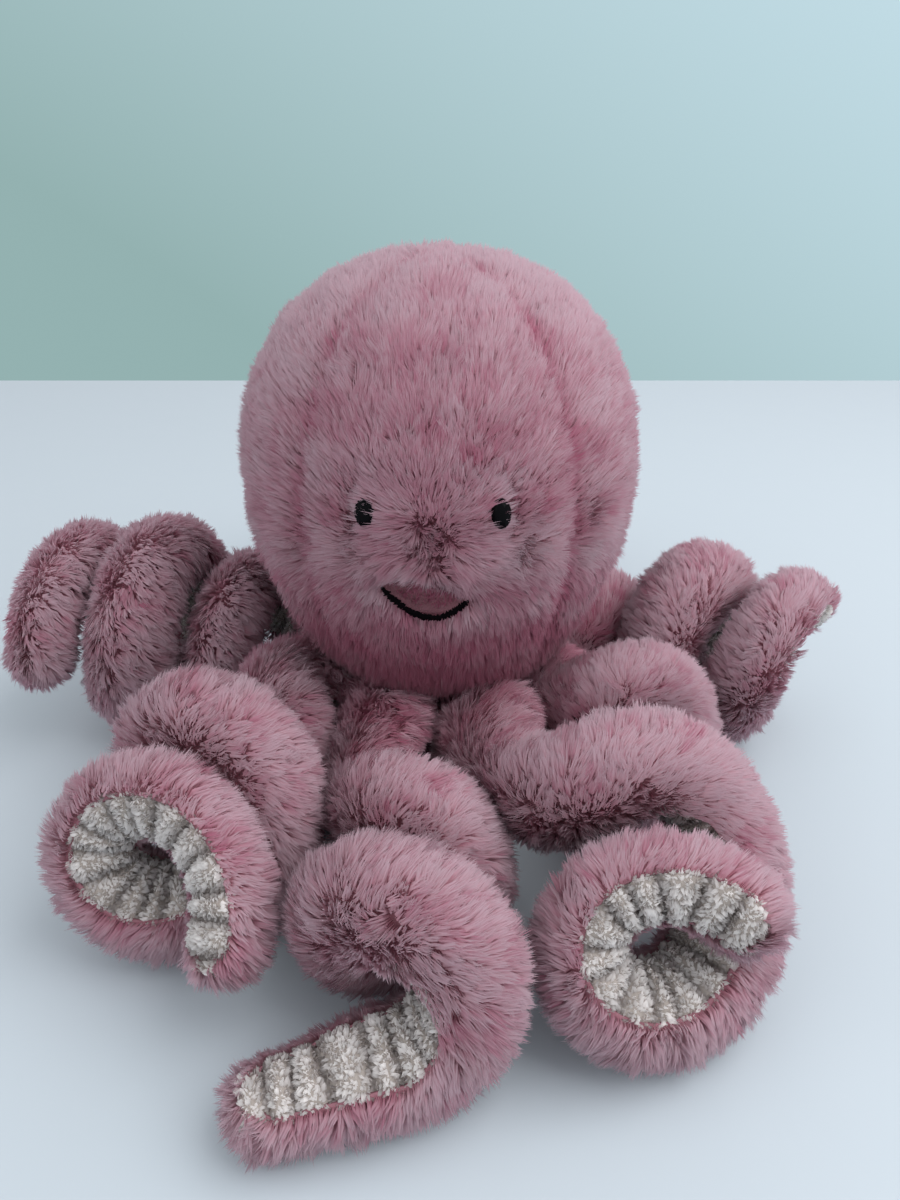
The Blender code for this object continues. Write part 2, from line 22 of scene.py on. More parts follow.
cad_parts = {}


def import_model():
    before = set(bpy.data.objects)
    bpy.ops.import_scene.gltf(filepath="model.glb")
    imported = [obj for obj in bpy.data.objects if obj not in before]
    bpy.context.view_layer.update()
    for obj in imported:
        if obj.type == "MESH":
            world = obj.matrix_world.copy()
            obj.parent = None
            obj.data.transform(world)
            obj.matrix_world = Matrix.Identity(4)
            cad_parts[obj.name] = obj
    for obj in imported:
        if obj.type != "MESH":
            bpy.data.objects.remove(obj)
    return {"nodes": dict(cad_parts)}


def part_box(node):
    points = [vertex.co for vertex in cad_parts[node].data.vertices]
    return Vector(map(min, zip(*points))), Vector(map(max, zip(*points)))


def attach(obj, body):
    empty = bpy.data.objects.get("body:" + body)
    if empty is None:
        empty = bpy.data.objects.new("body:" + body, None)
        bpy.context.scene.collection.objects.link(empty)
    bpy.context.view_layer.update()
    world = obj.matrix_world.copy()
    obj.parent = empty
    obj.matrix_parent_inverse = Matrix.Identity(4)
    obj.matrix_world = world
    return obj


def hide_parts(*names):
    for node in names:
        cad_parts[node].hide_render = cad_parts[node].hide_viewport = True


LOG = logging.getLogger("octopus")

Colour = tuple[float, float, float]
UP = np.array([0.0, 0.0, 1.0])
MOST_TUFTS = 78000  # in one pile
FEWER_TUFTS = 40000  # in a pile behind the head
BEHIND_THE_HEAD = (7, 8)
FLOOR_LEVEL = 0.0004  # the lowest that a tuft lies
CROWD_REACH = 0.0200  # how far up a pile is crowded by what lies above it
GRAIN_RANGE = (0.3, 0.7)  # of the noise that a fine grain uses


class Slot(Enum):
    """The record's material slots."""

    FUR = "rose_fur"
    LINING = "cream_chenille"
    STUFFING = "white_stuffing"
    EYE = "black_eye"
    THREAD = "black_thread"


class Side(Enum):
    """The side of the face that an eye is on, as seen from the front."""

    LEFT = -1
    RIGHT = 1


# Small sums


def smooth(value: np.ndarray | float) -> np.ndarray | float:
    """An even start and stop between 0 and 1."""
    value = np.clip(value, 0.0, 1.0)
    return value * value * (3.0 - 2.0 * value)


@dataclass(frozen=True)
class Ramp:
    """An even rise from 0 to 1, from where it starts and over a span."""

    start: float
    span: float

    def at(self, value: np.ndarray) -> np.ndarray:
        """How far it has risen at a value."""
        return smooth((value - self.start) / self.span)


def bell(value: np.ndarray, width: float) -> np.ndarray:
    """1 at a value of 0, and falling off over that width on both sides."""
    return np.exp(-((value / width) ** 2))


def patch(across: np.ndarray, rise: np.ndarray, size: tuple[float, float]) -> np.ndarray:
    """1 at the middle of a patch, and falling off over its half width and half height."""
    return np.exp(-((across / size[0]) ** 2) - (rise / size[1]) ** 2)


def mix(first, last, share):
    """The value that lies that share of the way from first to last."""
    return first + (last - first) * share


def unit(vectors: np.ndarray) -> np.ndarray:
    """The same vectors, one unit long."""
    return vectors / np.maximum(np.linalg.norm(vectors, axis=-1, keepdims=True), 1e-12)


def heading(degrees: float) -> np.ndarray:
    """The level unit vector at an azimuth."""
    angle = math.radians(degrees)
    return np.array([math.sin(angle), -math.cos(angle), 0.0])


def flattened(vectors: np.ndarray, normals: np.ndarray) -> np.ndarray:
    """The part of each vector that is square to its normal."""
    return vectors - normals * np.sum(vectors * normals, axis=-1, keepdims=True)


def wander(places: np.ndarray, spacing: float, seed: int, waves: int = 7) -> np.ndarray:
    """A smooth field of random vectors.

    Args:
        places: Where to read it.
        spacing: The length over which it changes.
        seed: Which field it is.
        waves: How many waves make up each part.

    Returns:
        A vector at each place, of which each part varies by about one.
    """
    rng = np.random.default_rng(seed)
    ways = unit(rng.normal(size=(3, waves, 3))) * (2.0 * math.pi / spacing)
    starts = rng.uniform(0.0, 2.0 * math.pi, (3, waves))
    parts = [np.sin(places @ way.T + start).sum(axis=-1) for way, start in zip(ways, starts)]
    return np.stack(parts, axis=-1) * math.sqrt(2.0 / waves)


def walked_along(places: np.ndarray) -> np.ndarray:
    """The length walked to each place of a line."""
    return np.concatenate([[0.0], np.cumsum(np.linalg.norm(np.diff(places, axis=0), axis=1))])


def read_at(wanted: np.ndarray, known: np.ndarray, values: np.ndarray) -> np.ndarray:
    """Rows of three numbers, read where they are wanted from those where they are known."""
    return np.stack([np.interp(wanted, known, values[:, part]) for part in range(3)], axis=1)


def evened_out(values: np.ndarray, reach: np.ndarray | int) -> np.ndarray:
    """Each row's mean with so many rows on both sides of it, or fewer beside an end."""
    index = np.arange(len(values))
    near = np.minimum(np.minimum(reach, index), index[::-1])
    summed = np.concatenate([np.zeros((1, 3)), np.cumsum(values, axis=0)])
    return (summed[index + near + 1] - summed[index - near]) / (2 * near + 1)[:, None]


# Finishes


class Board:
    """A node tree with short calls that add and join its nodes."""

    def __init__(self, tree: bpy.types.NodeTree) -> None:
        """Takes the tree that the nodes go into."""
        self.tree = tree

    def add(self, kind: str, values: dict | None = None, **settings) -> bpy.types.Node:
        """Adds a node.

        Args:
            kind: The node's type, without its ShaderNode prefix.
            values: Input sockets' names or numbers, with what each is set to or joined to.
            settings: The node's own properties.

        Returns:
            The new node.
        """
        prefix = "" if kind.startswith("NodeGroup") else "ShaderNode"
        node = self.tree.nodes.new(prefix + kind)
        for name, value in settings.items():
            setattr(node, name, value)
        return self.fill(node, values or {})

    def fill(self, node: bpy.types.Node, values: dict) -> bpy.types.Node:
        """Sets or joins a node's input sockets, given by name or number, and returns the node."""
        for name, value in values.items():
            if isinstance(value, bpy.types.NodeSocket):
                self.tree.links.new(value, node.inputs[name])
            else:
                node.inputs[name].default_value = value
        return node

    def mixed(self, share, first, last) -> bpy.types.NodeSocket:
        """Adds a mix of two colours, each a colour or a socket, and returns its socket."""
        return self.add("Mix", {0: share, 6: first, 7: last}, data_type="RGBA").outputs[2]

    def ranged(
        self, value, low: float, high: float, start: float, end: float
    ) -> bpy.types.NodeSocket:
        """Adds a map from one range to another and returns its result's socket."""
        values = {"Value": value, "From Min": low, "From Max": high, "To Min": start, "To Max": end}
        return self.add("MapRange", values).outputs["Result"]


def rgba(colour: Colour) -> tuple[float, float, float, float]:
    """An opaque colour with its alpha."""
    return (*colour, 1.0)


def new_group(name: str, inputs: dict, outputs: dict) -> tuple[bpy.types.NodeTree, Board]:
    """Makes an empty shader node group.

    Args:
        name: The group's name.
        inputs: Socket types by input name.
        outputs: Socket types by output name.

    Returns:
        The group and the board to fill it on.
    """
    group = bpy.data.node_groups.new(name, "ShaderNodeTree")
    for direction, sockets in (("INPUT", inputs), ("OUTPUT", outputs)):
        for label, kind in sockets.items():
            group.interface.new_socket(name=label, in_out=direction, socket_type=kind)
    return group, Board(group)


@cache
def strand_group() -> bpy.types.NodeTree:
    """The group that colours tufts from root to tip, and lock by lock, and lays in the tone's painted
    shade and painted light.
    """
    colour = "NodeSocketColor"
    inputs = dict.fromkeys(("Root", "Middle", "Tip", "Deep"), colour)
    group, board = new_group("strand_colour", inputs, {"Colour": colour})
    given = board.add("NodeGroupInput").outputs
    along = board.add("Attribute", attribute_name="along").outputs["Fac"]
    tone = board.add("Attribute", attribute_name="tone").outputs["Fac"]
    lower = board.mixed(board.ranged(along, 0.0, 0.55, 0.0, 1.0), given["Root"], given["Middle"])
    strand = board.mixed(board.ranged(along, 0.45, 1.0, 0.0, 1.0), lower, given["Tip"])
    # Low tones mix towards the deep colour and high ones towards the tip: random locks, pale fluff,
    # painted shade and painted light alike
    deep_and_shaded = board.mixed(board.ranged(tone, 0.0, 0.5, 0.90, 0.0), strand, given["Deep"])
    frosted_and_lit = board.mixed(board.ranged(tone, 0.5, 1.0, 0.0, 0.45), deep_and_shaded, given["Tip"])
    board.add("NodeGroupOutput", {"Colour": frosted_and_lit})
    return group


@cache
def grain_group() -> bpy.types.NodeTree:
    """The group that gives a fine grain in the piece's own place: a shade and a height."""
    number = "NodeSocketFloat"
    outputs = {"Shade": number, "Height": number}
    group, board = new_group("fine_grain", {"Scale": number, "Depth": number}, outputs)
    given = board.add("NodeGroupInput").outputs
    place = board.add("TexCoord").outputs["Object"]
    noise = board.add("TexNoise", {"Vector": place, "Scale": given["Scale"], "Detail": 5.0})
    height = noise.outputs["Fac"]
    lowest = board.add("Math", {0: 1.0, 1: given["Depth"]}, operation="SUBTRACT").outputs[0]
    low, high = GRAIN_RANGE
    values = {"Value": height, "From Min": low, "From Max": high, "To Min": lowest}
    shade = board.add("MapRange", values)
    board.add("NodeGroupOutput", {"Shade": shade.outputs["Result"], "Height": height})
    return group


def new_material(name: str) -> tuple[bpy.types.Material, Board, bpy.types.Node]:
    """A new material, its board and its Principled shader."""
    made = bpy.data.materials.new(name)
    made.use_nodes = True
    return made, Board(made.node_tree), made.node_tree.nodes["Principled BSDF"]


@dataclass(frozen=True)
class PileFinish:
    """Pile that is deep and saturated at its roots and frosted at its tips. The deeper roots are partly
    painted shade deep in the pile, and the paler tips are partly a painted highlight where tips catch
    the light.
    """

    name: str
    root: Colour
    middle: Colour
    tip: Colour
    deep: Colour  # of whole strands where the pile is richest, and the colour of the painted shade in creases, partings and low on the head and tentacles
    roughness: float = 0.85
    specular: float = 0.25
    sheen: float = 0.30
    sheen_roughness: float = 0.6
    sheen_tint: Colour = (0.92, 0.84, 0.89)
    shadow_pass: float = 0.58  # share of the light that passes between a strand's fibres
    see_through: float = 0.50  # share of the light that a strand lets through

    @cache
    def material(self) -> bpy.types.Material:
        """Makes the material once, and returns it."""
        made, board, shader = new_material(self.name)
        colours = {"Root": self.root, "Middle": self.middle, "Tip": self.tip, "Deep": self.deep}
        colours = {label: rgba(colour) for label, colour in colours.items()}
        strand = board.add("Group", colours, node_tree=strand_group()).outputs["Colour"]
        board.fill(shader, {
            "Base Color": strand, "Roughness": self.roughness, "Specular IOR Level": self.specular,
            "Sheen Weight": self.sheen, "Sheen Roughness": self.sheen_roughness,
            "Sheen Tint": rgba(self.sheen_tint),
        })
        through = board.add("BsdfTranslucent", {"Color": strand})
        sides = {0: self.see_through, 1: shader.outputs[0], 2: through.outputs[0]}
        both = board.add("MixShader", sides)
        shadowing = board.add("LightPath").outputs["Is Shadow Ray"]
        factors = {0: shadowing, 1: self.shadow_pass}
        passing = board.add("Math", factors, operation="MULTIPLY").outputs[0]
        open_air = board.add("BsdfTransparent").outputs[0]
        soft = board.add("MixShader", {0: passing, 1: both.outputs[0], 2: open_air})
        board.fill(made.node_tree.nodes["Material Output"], {"Surface": soft.outputs[0]})
        return made


@dataclass(frozen=True)
class GrainFinish:
    """A plain colour with a fine grain, which shades it and roughens it."""

    name: str
    colour: Colour
    roughness: float
    grain_scale: float
    grain_depth: float
    bump: float
    specular: float = 0.5

    @cache
    def material(self) -> bpy.types.Material:
        """Makes the material once, and returns it."""
        made, board, shader = new_material(self.name)
        sizes = {"Scale": self.grain_scale, "Depth": self.grain_depth}
        grain = board.add("Group", sizes, node_tree=grain_group()).outputs
        dark = tuple(part * (1.0 - self.grain_depth) for part in self.colour)
        colour = board.mixed(grain["Shade"], rgba(dark), rgba(self.colour))
        rough = board.ranged(grain["Height"], *GRAIN_RANGE, self.roughness * 0.85, self.roughness)
        heights = {"Height": grain["Height"], "Strength": 1.0, "Distance": self.bump}
        bump = board.add("Bump", heights)
        board.fill(shader, {
            "Base Color": colour, "Roughness": rough, "Normal": bump.outputs["Normal"],
            "Specular IOR Level": self.specular,
        })
        return made


# Root to tip, these colours are partly the pile's own and partly painted shade and painted highlight;
# deep is also the painted shade's colour
ROSE_PILE = PileFinish(
    "rose_pile", (0.640, 0.275, 0.345), (0.650, 0.400, 0.465), (0.630, 0.490, 0.550),
    (0.480, 0.115, 0.210),
)
CREAM_PILE = PileFinish(
    "cream_chenille_pile", (0.740, 0.695, 0.680), (0.900, 0.868, 0.860), (0.950, 0.930, 0.928),
    (0.360, 0.310, 0.300), shadow_pass=0.75, sheen_tint=(0.95, 0.93, 0.90),
)
ROSE_CLOTH = GrainFinish("rose_backing", (0.340, 0.150, 0.185), 0.95, 900.0, 0.35, 0.0004)
CREAM_CLOTH = GrainFinish("cream_backing", (0.450, 0.400, 0.370), 0.95, 700.0, 0.30, 0.0006)
WHITE_STUFFING = GrainFinish("white_stuffing_fibre", (0.80, 0.80, 0.78), 0.98, 260.0, 0.15, 0.0020)
BLACK_BEAD = GrainFinish(
    "black_bead", (0.004, 0.004, 0.005), 0.12, 160.0, 0.20, 0.00001, specular=0.03,
)
BLACK_THREAD = GrainFinish(
    "black_yarn", (0.004, 0.003, 0.004), 0.90, 1500.0, 0.40, 0.0004, specular=0.02,
)
PALE_FLOOR = GrainFinish("pale_floor", (0.518, 0.577, 0.628), 0.75, 22.0, 0.03, 0.0002)


# Surfaces and their pile


@dataclass
class Roots:
    """Where pile grows, at its middle height, and how it lies there."""

    places: np.ndarray
    normals: np.ndarray
    combs: np.ndarray  # which way the pile leans, and how far
    depths: np.ndarray  # how deep the backing lies
    lengths: np.ndarray  # share of the pile's full length
    tones: np.ndarray  # lighter above 0, deeper below: the pile's own tone, with painted light and painted shade

    def changed(self, change: Callable[[np.ndarray], np.ndarray]) -> "Roots":
        """The same roots with each part changed alike."""
        return Roots(*(change(getattr(self, part.name)) for part in fields(self)))


class Surface(Roots):
    """A furred surface as a grid of rows and columns."""

    def backing(self) -> np.ndarray:
        """The backing's places."""
        return self.places - self.normals * self.depths[..., None]

    def cell_areas(self) -> np.ndarray:
        """The area of each cell of the grid."""
        across = self.places[:-1, 1:] - self.places[:-1, :-1]
        down = self.places[1:, :-1] - self.places[:-1, :-1]
        far_across = self.places[1:, 1:] - self.places[1:, :-1]
        far_down = self.places[1:, 1:] - self.places[:-1, 1:]
        near = np.linalg.norm(np.cross(across, down), axis=-1)
        far = np.linalg.norm(np.cross(far_across, far_down), axis=-1)
        return (near + far) / 2.0

    def crowd(self, neighbours: BVHTree, start: float) -> np.ndarray:
        """How far each place is from what lies above it.

        Args:
            neighbours: The toy's solids.
            start: Where to look from, above the surface.

        Returns:
            The distance at each place, at most CROWD_REACH.
        """
        free = np.full(self.depths.shape, CROWD_REACH)
        for row, column in np.ndindex(free.shape):
            way = self.normals[row, column]
            origin = self.places[row, column] + way * start
            distance = neighbours.ray_cast(Vector(origin), Vector(way), CROWD_REACH)[3]
            if distance is not None:
                free[row, column] = distance + start
        return free

@dataclass(frozen=True)
class Pile:
    """How a pile grows: its tufts' size, lean and locks."""

    length: float
    width: float
    per_square_metre: float
    upright: float  # lean of the lower half, as its tangent
    bowed: float  # lean of the upper half, as its tangent
    lock: float  # distance between small locks
    lock_pull: float
    swirl: float  # distance between large locks
    swirl_sway: float
    lock_sway: float
    strand_sway: float
    card_roll: float = 0.35
    roundness: float = 0.80  # share of the skin's own normal in a tuft's shading
    wander_length: float = 0.0260
    wander_sway: float = 0.14
    speckle: float = 1.0  # how far the tufts differ in tone

    def thinned(self, area: float, most: int) -> "Pile":
        """The pile with so many tufts at most on an area, each wider to cover it as well."""
        share = min(1.0, most / (self.per_square_metre * area))
        dense = self.per_square_metre * share
        return replace(self, per_square_metre=dense, width=self.width / math.sqrt(share))

    def sown(
        self, surface: Surface, weights: np.ndarray, most: int, rng: np.random.Generator
    ) -> tuple["Pile", Roots]:
        """Thins the pile for a surface, and spreads its roots there.

        Args:
            surface: Where they grow.
            weights: The density at each place, from 0 to 1.
            most: How many tufts it may have.
            rng: The source of chance.

        Returns:
            The thinned pile and its roots.
        """
        cells = (weights[1:, 1:] + weights[:-1, :-1]) / 2.0
        thinned = self.thinned(float((surface.cell_areas() * cells).sum()), most)
        return thinned, thinned.scatter(surface, cells, rng)

    def scatter(self, surface: Surface, weights: np.ndarray, rng: np.random.Generator) -> Roots:
        """Spreads roots evenly over a surface.

        Args:
            surface: Where they grow.
            weights: The density of each cell, from 0 to 1.
            rng: The source of chance.

        Returns:
            The roots.
        """
        total = np.cumsum((surface.cell_areas() * weights).ravel())
        count = int(total[-1] * self.per_square_metre)
        picks = (np.arange(count) + rng.random(count)) / count * total[-1]
        cells = np.minimum(np.searchsorted(total, picks), len(total) - 1)
        row, column = np.divmod(cells, weights.shape[1])
        down, across = rng.random((2, count))

        def read(values: np.ndarray) -> np.ndarray:
            """The grid's values at the picked places."""
            shape = (count,) + (1,) * (values.ndim - 2)
            right, low = across.reshape(shape), down.reshape(shape)
            upper = mix(values[row, column], values[row, column + 1], right)
            lower = mix(values[row + 1, column], values[row + 1, column + 1], right)
            return mix(upper, lower, low)

        roots = surface.changed(read)
        roots.normals = unit(roots.normals)
        return roots

    @staticmethod
    def gathered(
        places: np.ndarray, spacing: float, area: float, rng: np.random.Generator
    ) -> np.ndarray:
        """For each root, the number of the root at the heart of its lock.

        Args:
            places: The roots' places.
            spacing: The distance between locks.
            area: The area that the roots cover.
            rng: The source of chance.

        Returns:
            The numbers.
        """
        number = max(1, min(len(places), int(area / spacing**2)))
        hearts = rng.choice(len(places), size=number, replace=False)
        tree = KDTree(number)
        for index, heart in enumerate(hearts):
            tree.insert(places[heart], index)
        tree.balance()
        nearest = np.fromiter((tree.find(place)[1] for place in places.tolist()), int, len(places))
        return hearts[nearest]

    def grow(self, name: str, roots: Roots, rng: np.random.Generator) -> bpy.types.Object:
        """Grows the tufts as one piece.

        Each tuft is two triangles: it widens from its root to its middle, bends there, and tapers
        to its tip. Small locks draw their tips together, and large ones sway as one.

        Args:
            name: The piece's name.
            roots: Where the tufts grow.
            rng: The source of chance.

        Returns:
            The piece.
        """
        count = len(roots.places)
        area = count / self.per_square_metre
        locks = self.gathered(roots.places, self.lock, area, rng)
        swirls = self.gathered(roots.places, self.swirl, area, rng)
        chance = rng.normal(size=(count, 3))
        sway = chance[swirls] * self.swirl_sway + chance[locks] * self.lock_sway
        sway = sway + rng.normal(size=(count, 3)) * self.strand_sway
        sway = sway + wander(roots.places, self.wander_length, 3) * self.wander_sway
        combs = flattened(roots.combs + sway, roots.normals)
        reach = roots.lengths * self.length * rng.uniform(0.82, 1.12, count)
        reach = (reach * rng.uniform(0.86, 1.10, count)[locks])[:, None]
        base = roots.places - roots.normals * roots.depths[:, None]
        lower = unit(roots.normals + combs * self.upright)
        upper = unit(roots.normals + combs * self.bowed)
        middle = base + lower * reach * 0.5
        tip = middle + upper * reach * 0.5
        pull = (self.lock_pull * rng.uniform(0.6, 1.2, count))[:, None]
        # A lock's strands keep their own lengths, so only their way towards its heart changes
        middle = mix(middle, middle[locks], pull * 0.30)
        tip = mix(tip, tip[locks], pull)
        way = unit(tip - middle)
        side = unit(np.cross(way, roots.normals) + 1e-6)
        lift = np.cross(side, way)
        roll = rng.normal(0.0, self.card_roll, count)[:, None]
        half = (self.width / 2.0 * rng.uniform(0.75, 1.25, count))[:, None]
        spread = (side * np.cos(roll) + lift * np.sin(roll)) * half
        corners = np.stack([base, middle + spread, middle - spread, tip], axis=1)
        corners[..., 2] = np.maximum(corners[..., 2], FLOOR_LEVEL)
        facing = unit(lift * np.cos(roll) - side * np.sin(roll))
        shading = unit(mix(facing, roots.normals, self.roundness))
        mottle = rng.normal(0.0, 0.07, count)[locks] + rng.normal(0.0, 0.06, count)[swirls]
        patches = wander(roots.places, self.wander_length, 4)[:, 0]
        mottle = mottle + rng.normal(0.0, 0.05, count) + 0.06 * patches
        tones = 0.5 + roots.tones + mottle * self.speckle
        return tuft_piece(name, corners, shading, np.clip(tones, 0.03, 0.97))


def linked(name: str, data: bpy.types.ID) -> bpy.types.Object:
    """A new object in the scene."""
    made = bpy.data.objects.new(name, data)
    bpy.context.collection.objects.link(made)
    return made


def placed(name: str, bm: bmesh.types.BMesh) -> bpy.types.Object:
    """Makes a built shape an object in the scene, with smooth shading."""
    mesh = bpy.data.meshes.new(name)
    bm.to_mesh(mesh)
    bm.free()
    mesh.shade_smooth()
    return linked(name, mesh)


def tuft_piece(
    name: str, corners: np.ndarray, shading: np.ndarray, tones: np.ndarray
) -> bpy.types.Object:
    """Makes a piece of tufts.

    Args:
        name: The piece's name.
        corners: Each tuft's root, two middle corners and tip.
        shading: Each tuft's shading normal.
        tones: Each tuft's tone, from 0 to 1.

    Returns:
        The piece, with the attributes along and tone.
    """
    count = len(corners)
    mesh = bpy.data.meshes.new(name)
    mesh.vertices.add(count * 4)
    mesh.vertices.foreach_set("co", corners.astype(np.float32).ravel())
    triangles = np.array([[0, 1, 2], [1, 3, 2]])[None] + (np.arange(count) * 4)[:, None, None]
    mesh.loops.add(count * 6)
    mesh.loops.foreach_set("vertex_index", triangles.astype(np.int32).ravel())
    mesh.polygons.add(count * 2)
    mesh.polygons.foreach_set("loop_start", np.arange(0, count * 6, 3, dtype=np.int32))
    mesh.update(calc_edges=True)
    along = np.tile(np.array([0.0, 0.5, 0.5, 1.0], dtype=np.float32), count)
    mesh.attributes.new("along", "FLOAT", "POINT").data.foreach_set("value", along)
    toned = np.repeat(tones, 4).astype(np.float32)
    mesh.attributes.new("tone", "FLOAT", "POINT").data.foreach_set("value", toned)
    # A map on which a tuft of any tone lies at that tone, so that one picture colours all of them
    sides = np.tile(np.array([0.0, 0.012, -0.012, 0.0]), count)
    spots = np.stack([np.clip(toned + sides, 0.0, 1.0), 0.02 + 0.96 * along], axis=1)
    layer = mesh.uv_layers.new(name="OFBake", do_init=False)
    layer.uv.foreach_set("vector", spots[triangles.ravel()].astype(np.float32).ravel())
    mesh.normals_split_custom_set_from_vertices(np.repeat(shading, 4, axis=0))
    return linked(name, mesh)


def finished(
    piece: bpy.types.Object, body: str, finish: PileFinish | GrainFinish, node: str
) -> None:
    """Gives a piece its material and its body, and hides the node that it stands for.

    Args:
        piece: The piece.
        body: The body that it rides on.
        finish: What it is made of.
        node: The solid that it replaces.
    """
    piece.data.materials.append(finish.material())
    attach(piece, body)
    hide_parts(node)
    LOG.info("%s: %d faces, on %s", piece.name, len(piece.data.polygons), body)


def cloth_piece(
    name: str, places: np.ndarray, thickness: float, tones: np.ndarray | None = None
) -> bpy.types.Object:
    """Makes a cloth from a grid of places.

    Args:
        name: The piece's name.
        places: Its outer side's places, by row and column, with the outside to the left of a row.
        thickness: How thick it is, inwards.
        tones: The attribute tone at each place, if its finish reads it.

    Returns:
        The piece, with its faces outwards and a live wall.
    """
    rows, columns = places.shape[:2]
    bm = bmesh.new()
    bmesh.ops.create_grid(bm, x_segments=columns - 1, y_segments=rows - 1, size=1.0)
    layer = bm.verts.layers.float.new("tone")
    for vert in bm.verts:
        column = round((vert.co.x + 1.0) / 2.0 * (columns - 1))
        row = round((vert.co.y + 1.0) / 2.0 * (rows - 1))
        vert.co = places[row, column]
        vert[layer] = 0.5 if tones is None else float(tones[row, column])
    bmesh.ops.remove_doubles(bm, verts=bm.verts, dist=thickness * 0.1)
    made = placed(name, bm)
    wall = made.modifiers.new("wall", "SOLIDIFY")
    wall.thickness = thickness
    wall.offset = -1.0
    return made


def stuffing_piece(name: str, rings: np.ndarray) -> bpy.types.Object:
    """Makes a stuffing, closed at both ends, from rings of places."""
    bm = bmesh.new()
    loops = []
    for ring in rings:
        circle = bmesh.ops.create_circle(bm, segments=len(ring), radius=1.0)["verts"]
        for vert, place in zip(circle, ring):
            vert.co = place
        loops.append(circle)
    for near, far in zip(loops, loops[1:]):
        edges = [edge for edge in bm.edges if edge.verts[0] in near and edge.verts[1] in near]
        edges += [edge for edge in bm.edges if edge.verts[0] in far and edge.verts[1] in far]
        bmesh.ops.bridge_loops(bm, edges=edges)
    for loop in (loops[0], loops[-1]):
        bmesh.ops.contextual_create(bm, geom=loop)
    bmesh.ops.recalc_face_normals(bm, faces=bm.faces)
    return placed(name, bm)


# Head


@dataclass
class HeadShape:
    """The head's egg, the groove round its waist and its seams. Angles are in degrees."""

    radius: float = 0.0845
    top: float = 0.2360
    foot: float = 0.0640
    lean: float = 0.0060
    root_ring: float = 0.0550
    root_height: float = 0.0410
    socket_radius: float = 0.0205
    groove_step: float = 24.0
    groove_angles: tuple[float, ...] = (-58.0, -36.0, -12.0, 12.0, 36.0, 60.0, 80.0)
    base_radius: float = 0.0500
    base_round: float = 0.0030
    base_thickness: float = 0.0045
    seam_dip: float = 0.0024
    seam_dip_width: float = 0.0110
    seam_full_share: float = 0.25
    profile_shares: tuple[tuple[float, float], ...] = (
        (0.000, 0.685), (0.055, 0.775), (0.160, 0.890), (0.280, 0.970), (0.410, 1.015),
        (0.530, 1.022), (0.645, 0.985), (0.755, 0.900), (0.855, 0.760), (0.930, 0.575),
        (0.980, 0.330), (0.997, 0.140), (1.000, 0.012),
    )
    seams: tuple[float, ...] = (-39.0, 39.0, 137.0, 223.0)
    row_spacing: float = 0.0025
    fine_rows: int = 5  # for each row, while the profile is softened
    softening: float = 0.0060
    middle: tuple[float, float, float] = (0.0, 0.0, 0.14)

    def outline(self) -> np.ndarray:
        """The profile from base to crown as rows of radius, height and seam weight."""
        clear = self.socket_radius / math.cos(math.radians(self.groove_step / 2.0))
        rows = [(self.base_radius, self.base_thickness + self.base_round, 0.0)]
        for turn in np.radians(self.groove_angles).tolist():
            radius = self.root_ring - clear * math.cos(turn)
            rows.append((radius, self.root_height + clear * math.sin(turn), 0.0))
        for height_share, radius_share in self.profile_shares:
            height = mix(self.foot, self.top, height_share)
            weight = smooth(height_share / self.seam_full_share)
            rows.append((self.radius * radius_share, height, weight))
        coarse = np.array(rows)
        walked = walked_along(coarse[:, :2])
        spacing = self.row_spacing / self.fine_rows
        line = read_at(np.arange(0.0, walked[-1], spacing), walked, coarse)
        return evened_out(line, int(self.softening / spacing / 2.0))[:: self.fine_rows]

    def lean_at(self, height: np.ndarray) -> np.ndarray:
        """How far back the head leans at a height."""
        return self.lean * smooth((height - self.foot) / (self.top - self.foot))

    def from_seam(self, azimuth: np.ndarray) -> np.ndarray:
        """The signed angle from the nearest seam, in degrees."""
        away = np.stack([(azimuth - seam + 180.0) % 360.0 - 180.0 for seam in self.seams])
        return np.take_along_axis(away, np.abs(away).argmin(axis=0)[None], axis=0)[0]

    def places(self, line: np.ndarray, azimuth: np.ndarray) -> np.ndarray:
        """The surface's places, a row for each profile point and a column for each azimuth."""
        radius, height, weight = (line[:, part][:, None] for part in range(3))
        away = np.radians(np.abs(self.from_seam(azimuth)))[None]
        away = away * np.maximum(radius, self.seam_dip_width) / self.seam_dip_width
        radius = radius - self.seam_dip * weight * np.exp(-away * away)
        angle = np.radians(azimuth)[None]
        depth = self.lean_at(height) - np.cos(angle) * radius
        height = height + np.zeros_like(radius * angle)
        return np.stack([np.sin(angle) * radius, depth, height], axis=-1)


